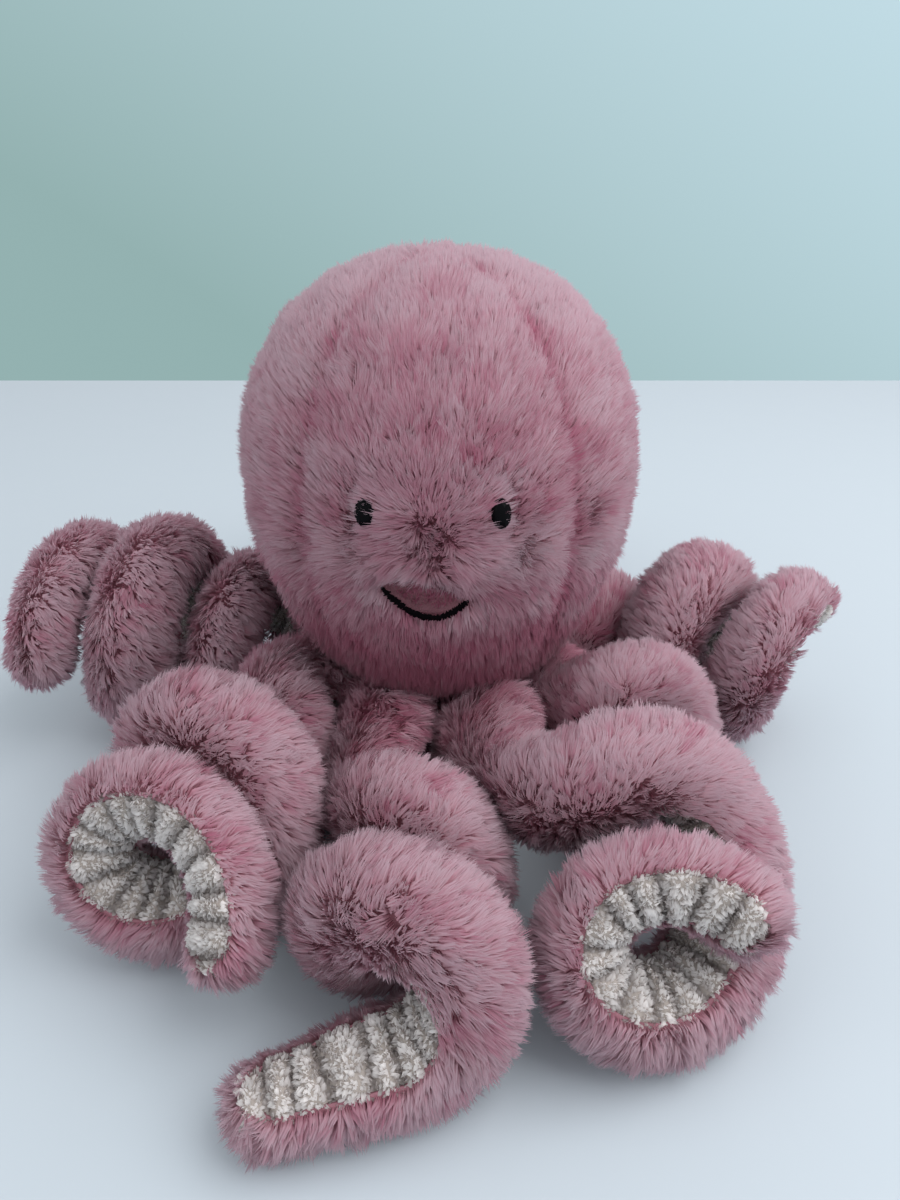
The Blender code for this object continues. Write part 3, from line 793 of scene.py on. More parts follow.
@dataclass
class Face:
    """Where the eyes and the smile are, and how the pile lies round them.

    Angles are in degrees. Distances from an eye are shares of its size, with its rim at 1.
    """

    shape: HeadShape
    turn: float = -1.4
    eye_spread: float = 18.4
    eye_height: float = 0.1570
    eye_half_width: float = 0.0040
    eye_half_height: float = 0.0060
    eye_dome: float = 0.0032
    eye_dent: float = 0.0010
    eye_dent_width: float = 0.0090
    rim: Ramp = Ramp(1.0, 1.4)
    rim_cut: float = 0.62
    rim_tone: float = -0.06
    fluff: Ramp = Ramp(0.8, 0.9)  # the pale pile between a bead and the nose
    fluff_growth: float = 0.20
    fluff_tone: float = 0.40
    bare_bead: float = 1.08
    bare_beside_fluff: float = 0.80
    parting: Ramp = Ramp(1.0, 1.8)
    parting_comb: float = 0.85
    nose_height: float = 0.1440
    nose_reach: float = 0.0330
    nose_upright: float = 0.024  # within it the pile stands up
    nose_mess: float = 0.020
    mess_length: float = 0.014
    mess_sway: float = 0.30
    nose_tone: float = -0.06
    nose_tone_size: tuple[float, float] = (0.030, 0.022)
    nose_tone_rise: float = 0.006
    smile_first: float = -15.3
    smile_last: float = 8.2
    smile_height: float = 0.1209
    smile_drop: float = 0.0104
    smile_tilt: float = 0.56
    smile_corner: float = 0.06  # share of its length over which the pocket begins
    line_width: float = 0.0030
    line_bare: float = 0.0017
    line_pile: Ramp = Ramp(0.0, 0.0050)
    line_length: float = 0.55
    lip_rise: float = 0.0034
    lip_edge: Ramp = Ramp(-0.0009, 0.0030)
    pocket_edge: Ramp = Ramp(0.0, 0.0020)
    pocket_dent: float = 0.0030
    pocket_length: float = 0.42
    pocket_tone: float = -0.34
    fringe_start: Ramp = Ramp(0.0, 0.001)
    fringe_end: Ramp = Ramp(0.002, 0.006)
    fringe_half_angle: float = 11.0
    fringe_cut: float = 0.40
    below_start: Ramp = Ramp(0.0, 0.004)
    below_end: Ramp = Ramp(-0.011, 0.005)
    below_tone: float = 0.10
    muzzle_rise: float = 0.0016
    muzzle_size: tuple[float, float] = (0.024, 0.010)
    muzzle_above: float = 0.011  # the smile
    yarn_radius: float = 0.0006
    yarn_rise: float = 0.0010
    yarn_flatness: float = 0.8
    stitch_length: float = 0.0036
    stitch_slant: float = 62.0
    stitch_slant_spread: float = 16.0
    stitches: int = 84

    def flat(self, places: np.ndarray) -> tuple[np.ndarray, np.ndarray]:
        """A place's azimuth in degrees and its height."""
        height = places[..., 2]
        back = self.shape.lean_at(height) - places[..., 1]
        return np.degrees(np.arctan2(places[..., 0], back)), height
    def across(self, places: np.ndarray) -> tuple[np.ndarray, np.ndarray]:
        """A place's distance to the right of the face's middle, and its height."""
        azimuth, height = self.flat(places)
        return np.radians(azimuth - self.turn) * self.shape.radius, height

    def smile_share(self, azimuth: np.ndarray) -> np.ndarray:
        """How far along the smile an azimuth is, from 0 at its left end to 1 at its right."""
        return (azimuth - self.smile_first) / (self.smile_last - self.smile_first)

    def smile_at(self, share: np.ndarray | float) -> tuple[np.ndarray, np.ndarray]:
        """The azimuth and height of the smile's line at a share of its length."""
        arch = 1.0 - (2.0 * share - 1.0) ** 2
        height = self.smile_height + self.smile_drop * (self.smile_tilt * (1.0 - share) - arch)
        return mix(self.smile_first, self.smile_last, share), height

    def lip_at(self, share: np.ndarray) -> np.ndarray:
        """The height of the upper edge of the pocket above the smile's line."""
        arch = 1.0 - (2.0 * share - 1.0) ** 2
        tilted = self.smile_height + self.smile_drop * self.smile_tilt * (1.0 - share)
        return tilted + self.lip_rise * arch

    def eye_distance(self, places: np.ndarray) -> tuple[np.ndarray, np.ndarray]:
        """How far each place is from the nearer eye, and how far on its nose side."""
        azimuth, height = self.flat(places)
        nearest = np.full(azimuth.shape, np.inf)
        inner = np.zeros(azimuth.shape)
        for side in Side:
            across = np.radians(azimuth - self.turn - side.value * self.eye_spread)
            across = across * self.shape.radius / self.eye_half_width
            away = np.hypot(across, (height - self.eye_height) / self.eye_half_height)
            inner = np.where(away < nearest, -side.value * across / np.maximum(away, 1e-6), inner)
            nearest = np.minimum(nearest, away)
        return nearest, inner

    def smile_distance(self, places: np.ndarray) -> tuple[np.ndarray, np.ndarray]:
        """How far above the smile's line each place is, and how deep in the pocket above it."""
        azimuth, height = self.flat(places)
        share = self.smile_share(azimuth)
        held = np.clip(share, 0.0, 1.0)
        inside = smooth((0.5 - np.abs(share - 0.5)) / self.smile_corner + 1.0)
        above = height - self.smile_at(held)[1]
        pocket = inside * self.pocket_edge.at(above) * self.lip_edge.at(self.lip_at(held) - height)
        beside = np.maximum(np.abs(share - 0.5) - 0.5, 0.0) * (self.smile_last - self.smile_first)
        return np.hypot(above, np.radians(beside) * self.shape.radius) * np.sign(above), pocket

    def dent(self, places: np.ndarray) -> np.ndarray:
        """How far the face is drawn in at each place: at the eyes, and above the smile."""
        reach = self.eye_distance(places)[0] * self.eye_half_width / self.eye_dent_width
        above, pocket = self.smile_distance(places)
        across, height = self.across(places)
        rise = height - self.smile_height - self.muzzle_above
        muzzle = patch(across, rise, self.muzzle_size)
        line = bell(above, self.line_width) * self.pocket_dent * 0.5
        dent = self.eye_dent * bell(reach, 1.0) + self.pocket_dent * pocket + line
        return dent - self.muzzle_rise * muzzle

    def comb(self, places: np.ndarray, combs: np.ndarray) -> np.ndarray:
        """Turns the pile outwards round the nose.

        Args:
            places: Where the pile grows.
            combs: How it lies elsewhere.

        Returns:
            How it lies.
        """
        across, height = self.across(places)
        angle = np.radians(self.flat(places)[0])
        east = np.stack([np.cos(angle), np.sin(angle), np.zeros_like(angle)], axis=-1)
        rise = height - self.nose_height
        away = np.hypot(across, rise)
        weight = np.exp(-((away / self.nose_reach) ** 4))
        radial = east * across[..., None] + UP * rise[..., None]
        radial = radial / np.maximum(away, self.nose_upright)[..., None]
        eye, inner = self.eye_distance(places)
        parted = smooth(inner) * (1.0 - self.parting.at(eye)) * np.sign(across)
        combs = mix(combs, radial, weight[..., None])
        combs = combs + east * (self.parting_comb * parted)[..., None]
        messy = wander(places, self.mess_length, 8) * self.mess_sway
        return combs + messy * bell(away, self.nose_mess)[..., None]

    def trim(self, roots: Roots) -> Roots:
        """Clears, shortens and tints the pile at the eyes, the nose and the smile.

        Args:
            roots: The pile's roots.

        Returns:
            The roots that are left.
        """
        azimuth, height = self.flat(roots.places)
        across, _ = self.across(roots.places)
        eye, inner = self.eye_distance(roots.places)
        above, pocket = self.smile_distance(roots.places)
        roots.combs = self.comb(roots.places, roots.combs)
        rim = 1.0 - self.rim.at(eye)
        inner = smooth(inner * 1.5)
        beside = 1.0 - self.fluff.at(eye)
        nose = patch(across, height - self.nose_height - self.nose_tone_rise, self.nose_tone_size)
        below = self.below_start.at(-above) * self.below_end.at(above)
        roots.tones = (
            roots.tones + self.fluff_tone * beside * inner + self.rim_tone * rim * (1.0 - inner)
            + self.nose_tone * nose * (1.0 - beside * inner)
            + self.pocket_tone * pocket + self.below_tone * below
        )
        chord = height - self.lip_at(np.clip(self.smile_share(azimuth), 0.0, 1.0))
        aside = (azimuth - (self.smile_first + self.smile_last) / 2.0) / self.fringe_half_angle
        fringe = np.exp(-(aside**4)) * self.fringe_start.at(chord)
        fringe = fringe * (1.0 - self.fringe_end.at(chord))
        for share in (
            1.0 - rim * mix(self.rim_cut, -self.fluff_growth, inner),
            1.0 - self.fringe_cut * fringe,
            mix(1.0, self.pocket_length, pocket),
            mix(self.line_length, 1.0, self.line_pile.at(np.abs(above))),
        ):
            roots.lengths = roots.lengths * share
        bare = mix(self.bare_bead, self.bare_beside_fluff, inner)
        wanted = (eye > bare) & (np.abs(above) > self.line_bare)
        return roots.changed(lambda part: part[wanted])

    def build(self, panel: BVHTree) -> None:
        """Makes the eyes and the smile on the front panel."""
        for side in Side:
            self.build_eye(panel, side)
        self.build_smile(panel)

    def on_panel(self, panel: BVHTree, azimuth: float, height: float) -> tuple[Vector, Vector]:
        """Where a level line towards the head's axis meets the panel, and the way out there."""
        way = Vector(heading(azimuth))
        start = way * (2.0 * self.shape.radius) + Vector((0.0, 0.0, height))
        place, normal, _, _ = panel.ray_cast(start, -way)
        return place, normal

    def build_eye(self, panel: BVHTree, side: Side) -> None:
        """Makes one glossy oval bead with a flat back."""
        node = f"eye_{side.name.lower()}"
        low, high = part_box(node)
        _, normal = self.on_panel(panel, self.turn + side.value * self.eye_spread, self.eye_height)
        centre = (Vector(low) + Vector(high)) / 2.0 - normal * (self.eye_dome / 2.0)
        bm = bmesh.new()
        bmesh.ops.create_uvsphere(bm, u_segments=36, v_segments=24, radius=1.0)
        cut = bmesh.ops.bisect_plane(
            bm, geom=bm.verts[:] + bm.edges[:] + bm.faces[:], dist=1e-7,
            plane_co=(0.0, 0.0, 0.0), plane_no=(0.0, 0.0, -1.0), clear_outer=True,
        )
        rim = [item for item in cut["geom_cut"] if isinstance(item, bmesh.types.BMEdge)]
        bmesh.ops.contextual_create(bm, geom=rim)
        size = (self.eye_half_width, self.eye_half_height, self.eye_dome)
        bmesh.ops.scale(bm, verts=bm.verts, vec=size)
        turn = normal.to_track_quat("Z", "Y").to_matrix()
        bmesh.ops.rotate(bm, verts=bm.verts, cent=(0.0, 0.0, 0.0), matrix=turn)
        bmesh.ops.translate(bm, verts=bm.verts, vec=centre)
        bmesh.ops.recalc_face_normals(bm, faces=bm.faces)
        finished(placed(f"{node}_bead", bm), "head", BLACK_BEAD, node)

    def build_smile(self, panel: BVHTree) -> None:
        """Makes the smile, a close row of slanted stitches across its line."""
        bm = bmesh.new()
        rng = np.random.default_rng(31)
        for index in range(self.stitches):
            share = (index + 0.5) / self.stitches
            azimuth, height = self.smile_at(share)
            place, normal = self.on_panel(panel, azimuth, height)
            ahead, _ = self.on_panel(panel, *self.smile_at(share + 0.01))
            slant = math.radians(self.stitch_slant + rng.normal(0.0, self.stitch_slant_spread))
            way = Matrix.Rotation(slant, 3, normal) @ (ahead - place).normalized()
            turn = Matrix((way, normal.cross(way), normal)).transposed()
            made = bmesh.ops.create_uvsphere(bm, u_segments=8, v_segments=6, radius=1.0)["verts"]
            lying = Matrix.Rotation(math.pi / 2.0, 3, "Y")
            bmesh.ops.rotate(bm, verts=made, cent=(0.0, 0.0, 0.0), matrix=lying)
            ends = smooth(min(share, 1.0 - share) * 8.0 + 0.4)
            length = self.stitch_length * rng.uniform(0.70, 1.30) * ends
            size = (length / 2.0, self.yarn_radius * self.yarn_flatness, self.yarn_radius)
            bmesh.ops.scale(bm, verts=made, vec=size)
            centre = place + normal * self.yarn_rise
            bmesh.ops.transform(bm, verts=made, matrix=Matrix.Translation(centre) @ turn.to_4x4())
        finished(placed("mouth_stitches", bm), "head", BLACK_THREAD, "mouth_stitching")


@dataclass
class Head:
    """The head's four panels with their pile, its stuffing and its base."""

    shape: HeadShape
    face: Face
    solids: BVHTree
    pile: Pile = Pile(
        length=0.0112, width=0.00056, per_square_metre=3.5e6, upright=0.32, bowed=1.30, lock=0.0018,
        lock_pull=0.30, swirl=0.0075, swirl_sway=0.15, lock_sway=0.14, strand_sway=0.11, speckle=0.75,
    )
    depth: float = 0.0060
    groove_depth: float = 0.0025
    cloth: float = 0.0012
    column_turn: float = 1.9
    parting_width: float = 0.0034
    parting_comb: float = 0.5
    parting_cut: float = 0.25
    # Painted shade in the furrows along the seams
    parting_painted_shade: float = -0.24
    crown_reach: float = 0.0300
    turning: Ramp = Ramp(0.100, 0.062)  # heights over which the pile turns from down to up
    turning_comb: float = 2.4
    waist: Ramp = Ramp(0.060, 0.025)
    waist_length: float = 0.88
    waist_comb: float = 0.7
    plain_tone: float = -0.08
    crown: Ramp = Ramp(0.165, 0.070)
    # Painted light: the top of the head is lighter, where light from above falls
    crown_painted_light: float = 0.20
    chin: Ramp = Ramp(0.075, 0.070)
    # Painted shade low on the head, where it meets the tentacles
    chin_painted_shade: float = -0.38
    brow_height: float = 0.207
    brow_size: tuple[float, float] = (46.0, 0.030)  # half its angle, and its half height
    # Painted shade across the front of the brow, below the crown's painted light
    brow_painted_shade: float = -0.22
    look_start: float = 0.0010
    lowest: Ramp = Ramp(0.070, 0.030)
    crowded_weights: tuple[float, float] = (0.35, 0.80)  # above, and where the pile is lowest
    crowded_lengths: tuple[float, float] = (0.55, 0.90)
    free_weight: Ramp = Ramp(0.0, 0.0120)
    free_length: Ramp = Ramp(0.0, 0.0100)
    stuffing_share: float = 0.86
    stuffing_turn: float = 15.0
    base_edge: float = 0.0014
    panels: tuple[tuple[str, float, float], ...] = (
        ("front", -39.0, 39.0), ("right", 39.0, 137.0), ("back", 137.0, 223.0), ("left", 223.0, 321.0),
    )

    def surface(self, first: float, last: float, face: Face | None) -> Surface:
        """One panel's surface.

        Args:
            first: Its first azimuth.
            last: Its last azimuth.
            face: The face on it, if it has one.

        Returns:
            The surface.
        """
        line = self.shape.outline()
        azimuth = np.linspace(first, last, int((last - first) / self.column_turn) + 1)
        places = self.shape.places(line, azimuth)
        if face:
            places = places - unit(places - self.shape.middle) * face.dent(places)[..., None]
        down = -np.gradient(places, axis=0)
        across = np.gradient(places, axis=1)
        slope = unit(np.gradient(line[:, :2], axis=0))[:, None]
        level = np.stack([heading(value) for value in azimuth])[None]
        from_crown = smooth(line[:, 0] / self.crown_reach)[:, None]
        normals = unit(np.cross(down, across))
        round_crown = level * slope[..., 1:] - UP * slope[..., :1]
        normals = unit(mix(round_crown, normals, from_crown[..., None]))
        # The pile runs up the brow, over the crown and down the back, and down to the waist
        front = np.cos(np.radians(azimuth))[None, :, None]
        aside = unit(across) * np.sin(np.radians(azimuth))[None, :, None] * np.maximum(front, 0.0)
        height = places[..., 2]
        lower = (1.0 - self.turning.at(height))[..., None]
        over = unit(flattened(np.array([0.0, 1.0, 0.0]) + UP * front, normals))
        combs = mix(over, unit(flattened(down, normals)), lower)
        combs = combs + aside * (self.turning_comb * lower * (1.0 - lower))
        away = np.radians(self.shape.from_seam(azimuth))[None] * line[:, 0][:, None]
        parted = bell(away, self.parting_width) * line[:, 2][:, None] * from_crown
        combs = combs + unit(across) * (np.sign(away) * parted * self.parting_comb)[..., None]
        high = self.waist.at(height)
        combs = combs * mix(self.waist_comb, 1.0, high)[..., None]
        depths = mix(self.groove_depth, self.depth, high)
        lengths = mix(self.waist_length, 1.0, high) * (1.0 - self.parting_cut * parted)
        wide, tall = self.brow_size
        brow = bell(azimuth, wide)[None] * bell(height - self.brow_height, tall)
        # Painted light lightens the crown, and painted shade deepens the seams, the chin and the front
        # of the brow
        tones = self.crown_painted_light * self.crown.at(height) + self.plain_tone
        tones = tones + self.parting_painted_shade * parted + self.chin_painted_shade * (1.0 - self.chin.at(height))
        tones = tones + self.brow_painted_shade * brow
        return Surface(places, normals, combs, depths, lengths, tones)

    def build_panel(self, name: str, first: float, last: float, seed: int) -> None:
        """Makes one panel's backing and pile.

        Args:
            name: The side that it is on.
            first: Its first azimuth.
            last: Its last azimuth.
            seed: The seed of its pile's chance.
        """
        face = self.face if name == "front" else None
        surface = self.surface(first, last, face)
        node = f"head_{name}_panel"
        backing = cloth_piece(f"{node}_backing", surface.backing(), self.cloth)
        finished(backing, "head", ROSE_CLOTH, node)
        rng = np.random.default_rng(seed)
        free = surface.crowd(self.solids, self.look_start)
        low = 1.0 - self.lowest.at(surface.places[..., 2])
        weights = mix(mix(*self.crowded_weights, low), 1.0, self.free_weight.at(free))
        lengths = mix(mix(*self.crowded_lengths, low), 1.0, self.free_length.at(free))
        surface.lengths = surface.lengths * lengths
        most = FEWER_TUFTS if name == "back" else MOST_TUFTS
        pile, roots = self.pile.sown(surface, weights, most, rng)
        if face:
            roots = face.trim(roots)
        finished(pile.grow(f"{node}_pile", roots, rng), "head", ROSE_PILE, node)

    def build_stuffing(self) -> None:
        """Makes the stuffing inside the panels."""
        line = self.shape.outline()[::6]
        azimuth = np.arange(0.0, 360.0, self.stuffing_turn)
        rings = self.shape.places(line, azimuth)
        rings = self.shape.middle + (rings - self.shape.middle) * self.stuffing_share
        rings[..., 2] = np.maximum(rings[..., 2], self.shape.base_thickness + 0.004)
        stuffing = stuffing_piece("head_stuffing", rings[:-1])
        finished(stuffing, "head", WHITE_STUFFING, "head_filling")

    def build_base(self) -> None:
        """Makes the round base panel, a flat cloth with a turned edge."""
        bm = bmesh.new()
        radius = self.shape.base_radius - 0.003
        bmesh.ops.create_circle(bm, cap_ends=True, segments=72, radius=radius)
        bmesh.ops.inset_region(bm, faces=bm.faces[:], thickness=0.004)
        raised = bmesh.ops.extrude_face_region(bm, geom=bm.faces[:])
        top = [item for item in raised["geom"] if isinstance(item, bmesh.types.BMVert)]
        bmesh.ops.translate(bm, verts=top, vec=(0.0, 0.0, self.shape.base_thickness))
        edges = [edge for edge in bm.edges if edge.calc_face_angle(0.0) > 1.0]
        bmesh.ops.bevel(
            bm, geom=edges, offset=self.base_edge, offset_type="OFFSET", affect="EDGES", segments=3,
            profile=0.5, material=-1, clamp_overlap=True,
        )
        bmesh.ops.recalc_face_normals(bm, faces=bm.faces)
        base = placed("base_cloth", bm)
        finished(base, "head", ROSE_CLOTH, "base_panel")

    def build(self) -> None:
        """Makes the whole head."""
        for seed, (name, first, last) in enumerate(self.panels):
            self.build_panel(name, first, last, seed + 11)
        self.build_stuffing()
        self.build_base()


# Tentacles


@dataclass
class CentreLine:
    """A tentacle's centre line, finely spaced."""

    places: np.ndarray
    linings: np.ndarray
    radii: np.ndarray

    def travelled(self) -> np.ndarray:
        """The length walked to each place."""
        return walked_along(self.places)


@dataclass
class Stations:
    """Cross-sections along a centre line: their places, directions and radii."""

    at: np.ndarray
    centres: np.ndarray
    alongs: np.ndarray
    towards: np.ndarray
    acrosses: np.ndarray
    radii: np.ndarray

    def read(self, at: np.ndarray) -> "Stations":
        """The cross-sections at other lengths; past an end they run straight on."""
        held = np.clip(at, self.at[0], self.at[-1])
        alongs = unit(read_at(held, self.at, self.alongs))
        towards = unit(flattened(read_at(held, self.at, self.towards), alongs))
        centres = read_at(held, self.at, self.centres) + alongs * (at - held)[:, None]
        radii = np.interp(held, self.at, self.radii)
        return Stations(at, centres, alongs, towards, np.cross(alongs, towards), radii)


@dataclass
class TubeShape:
    """Sizes that all tentacles share, as in the solids."""

    root_ring: float = 0.0550
    root_height: float = 0.0410
    root_radius: float = 0.0200
    tube_radius: float = 0.0200
    tip_radius: float = 0.0145
    taper_start: float = 0.65
    tailed_coil_share: float = 0.80
    lift_start: float = 0.45
    lift_span: float = 0.40
    coil_radius: float = 0.0250
    coil_pitch: float = 0.0420
    lead_length: float = 0.0600
    wind_length: float = 0.0340
    bend_length: float = 0.0800
    tail_length: float = 0.0520
    rise_length: float = 0.0460
    ease_length: float = 0.0360
    eased_length: float = 0.1800
    neck_radius: float = 0.0158
    neck_length: float = 0.0900
    tangent_length: float = 0.0120
    fine_step: float = 0.0005
    floor_gap: float = 0.0003
    lip_width: float = 0.0030
    lining_depth_share: float = 0.62
    most_twist_per_metre: float = 1350.0
    station_spacing: float = 0.0030

    def radius_at(self, walked: float, share: float) -> float:
        """The tube's radius: thin behind the root, then even, then tapering to the tip."""
        neck = smooth(walked / self.neck_length)
        body = mix(self.root_radius, self.neck_radius, smooth(2.0 * neck))
        if neck >= 0.5:
            body = mix(self.neck_radius, self.tube_radius, smooth(2.0 * neck - 1.0))
        taper = smooth((share - self.taper_start) / (1.0 - self.taper_start))
        return mix(body, self.tip_radius, taper)

    def evened(self, line: CentreLine) -> CentreLine:
        """The same line with its places spaced evenly."""
        walked = line.travelled()
        wanted = np.linspace(0.0, walked[-1], int(walked[-1] / self.fine_step) + 1)
        places, linings = (read_at(wanted, walked, part) for part in (line.places, line.linings))
        return CentreLine(places, linings, np.interp(wanted, walked, line.radii))

    def eased(self, line: CentreLine) -> CentreLine:
        """The same line with its bends eased beside the root."""
        walked = np.arange(len(line.places)) * self.fine_step
        share = np.clip(walked / self.eased_length, 0.0, 1.0)
        reach = ((1.0 - share * share) * self.ease_length / 2.0 / self.fine_step).astype(int)
        places = evened_out(evened_out(line.places, reach), reach)
        return CentreLine(places, line.linings, line.radii)

    def stations(self, line: CentreLine) -> Stations:
        """Cross-sections whose lining side follows the coil's inside, as far as the cloth can twist."""
        walked = line.travelled()
        count = round(walked[-1] / self.station_spacing)
        at = np.linspace(0.0, walked[-1], count + 1)
        spot = np.minimum(len(walked) - 2, np.searchsorted(walked, at))
        low = np.searchsorted(walked, at - self.tangent_length / 2.0)
        high = np.minimum(np.searchsorted(walked, at + self.tangent_length / 2.0), len(walked) - 1)
        alongs = unit(line.places[high] - line.places[low])
        wanted = unit(flattened(line.linings[spot], alongs))
        towards = wanted.copy()
        for index in range(count - 1, -1, -1):
            along = alongs[index]
            carried = unit(flattened(towards[index + 1], along))
            twist = math.atan2(np.cross(carried, wanted[index]) @ along, carried @ wanted[index])
            limit = math.radians(self.most_twist_per_metre) * (at[index + 1] - at[index])
            angle = min(limit, max(-limit, twist))
            towards[index] = carried * math.cos(angle) + np.cross(along, carried) * math.sin(angle)
        acrosses = np.cross(alongs, towards)
        return Stations(at, line.places[spot], alongs, towards, acrosses, line.radii[spot])


@dataclass(frozen=True)
class Coil:
    """How one tentacle leaves the waist and coils. Angles are in degrees."""

    number: int
    root_azimuth: float
    start_heading: float
    end_heading: float
    first_turn: float
    last_turn: float
    hold_share: float
    coil_share: float
    end_coil_share: float
    pitch_share: float
    mouth_turn: float
    mouth_lift: float
    tail_share: float = 0.0

    def trace(self, shape: TubeShape) -> CentreLine:
        """Walks the coil's axis outwards from the waist and winds the centre line round it."""
        hold = shape.lead_length * self.hold_share
        pitch = shape.coil_pitch * self.pitch_share
        turn, last = math.radians(self.first_turn), math.radians(self.last_turn)
        axis = heading(self.root_azimuth) * shape.root_ring
        total = hold + shape.wind_length / 2.0 + pitch * (last - turn) / (2.0 * math.pi)
        walked = 0.0
        places, linings, radii = [], [], []
        while turn < last:
            share = min(1.0, walked / total)
            bent = smooth((walked - hold) / shape.bend_length)
            bearing = mix(self.start_heading, self.end_heading, bent)
            lift = math.radians(self.mouth_lift) * smooth((share - shape.lift_start) / shape.lift_span)
            ahead = heading(bearing)
            side = np.cross(UP, ahead)
            above = UP * math.cos(lift) - ahead * math.sin(lift)
            rise = smooth(walked / shape.rise_length)
            coil = shape.coil_radius * mix(self.coil_share, self.end_coil_share, smooth(share)) * rise
            taper = shape.tailed_coil_share if self.tail_share else 1.0
            tube = shape.radius_at(walked, share * taper)
            height = mix(shape.root_height, coil * math.cos(lift) + tube + shape.floor_gap, rise)
            out = above * math.cos(turn) + side * math.sin(turn)
            places.append(axis + UP * height + out * coil)
            opening = math.radians(self.mouth_turn) * smooth(2.0 * share - 1.0)
            forward = ahead * math.cos(lift) + UP * math.sin(lift)
            linings.append(-out * math.cos(opening) + forward * math.sin(opening))
            radii.append(tube)
            wound = smooth((walked - hold) / shape.wind_length)
            turn += 2.0 * math.pi / pitch * wound * shape.fine_step
            walked += shape.fine_step
            axis = axis + ahead * shape.fine_step
        if self.tail_share:
            self.add_tail(shape, places, linings, radii)
        line = CentreLine(np.array(places), np.array(linings), np.array(radii))
        return shape.evened(shape.eased(shape.evened(line)))

    def add_tail(self, shape: TubeShape, places: list, linings: list, radii: list) -> None:
        """Adds the uncoiled tip, which settles on the floor with its lining up."""
        way = places[-1] - places[-2]
        way[2] = 0.0
        way = unit(way)
        length = shape.tail_length * self.tail_share
        steps = int(length / shape.fine_step)
        start, facing, width = places[-1], linings[-1], radii[-1]
        for index in range(1, steps + 1):
            share = index / steps
            tube = mix(width, shape.tip_radius, smooth(share))
            place = start + way * (length * share)
            place[2] = mix(start[2], tube + shape.floor_gap, smooth(2.0 * share))
            places.append(place)
            linings.append(facing * (1.0 - smooth(share)) + UP * smooth(share))
            radii.append(tube)


COILS = (
    Coil(1, -112.0, -86.0, -88.0, -60.0, 805.0, 0.42, 1.04, 1.46, 1.00, 30.0, 0.0),
    Coil(2, -67.0, -38.0, -10.0, -50.0, 818.0, 0.26, 0.78, 1.28, 1.26, 60.0, 30.0),
    Coil(3, -22.0, 7.0, -3.0, -70.0, 540.0, 0.86, 0.60, 0.88, 1.22, 10.0, 0.0, 0.80),
    Coil(4, 22.0, 33.0, 3.0, -60.0, 394.0, 1.16, 0.88, 1.34, 1.50, 58.0, 42.0),
    Coil(5, 67.0, 51.0, 25.0, -90.0, 290.0, 0.28, 0.85, 1.00, 1.08, 20.0, 0.0),
    Coil(6, 112.0, 97.0, 63.0, -60.0, 770.0, 0.12, 0.84, 1.22, 1.10, 45.0, 0.0),
    Coil(7, 157.0, 157.0, 168.0, -40.0, 860.0, 0.25, 0.95, 1.00, 1.12, 30.0, 10.0),
    Coil(8, -157.0, -157.0, -168.0, -40.0, 860.0, 0.25, 0.95, 1.00, 1.08, 30.0, 10.0),
)


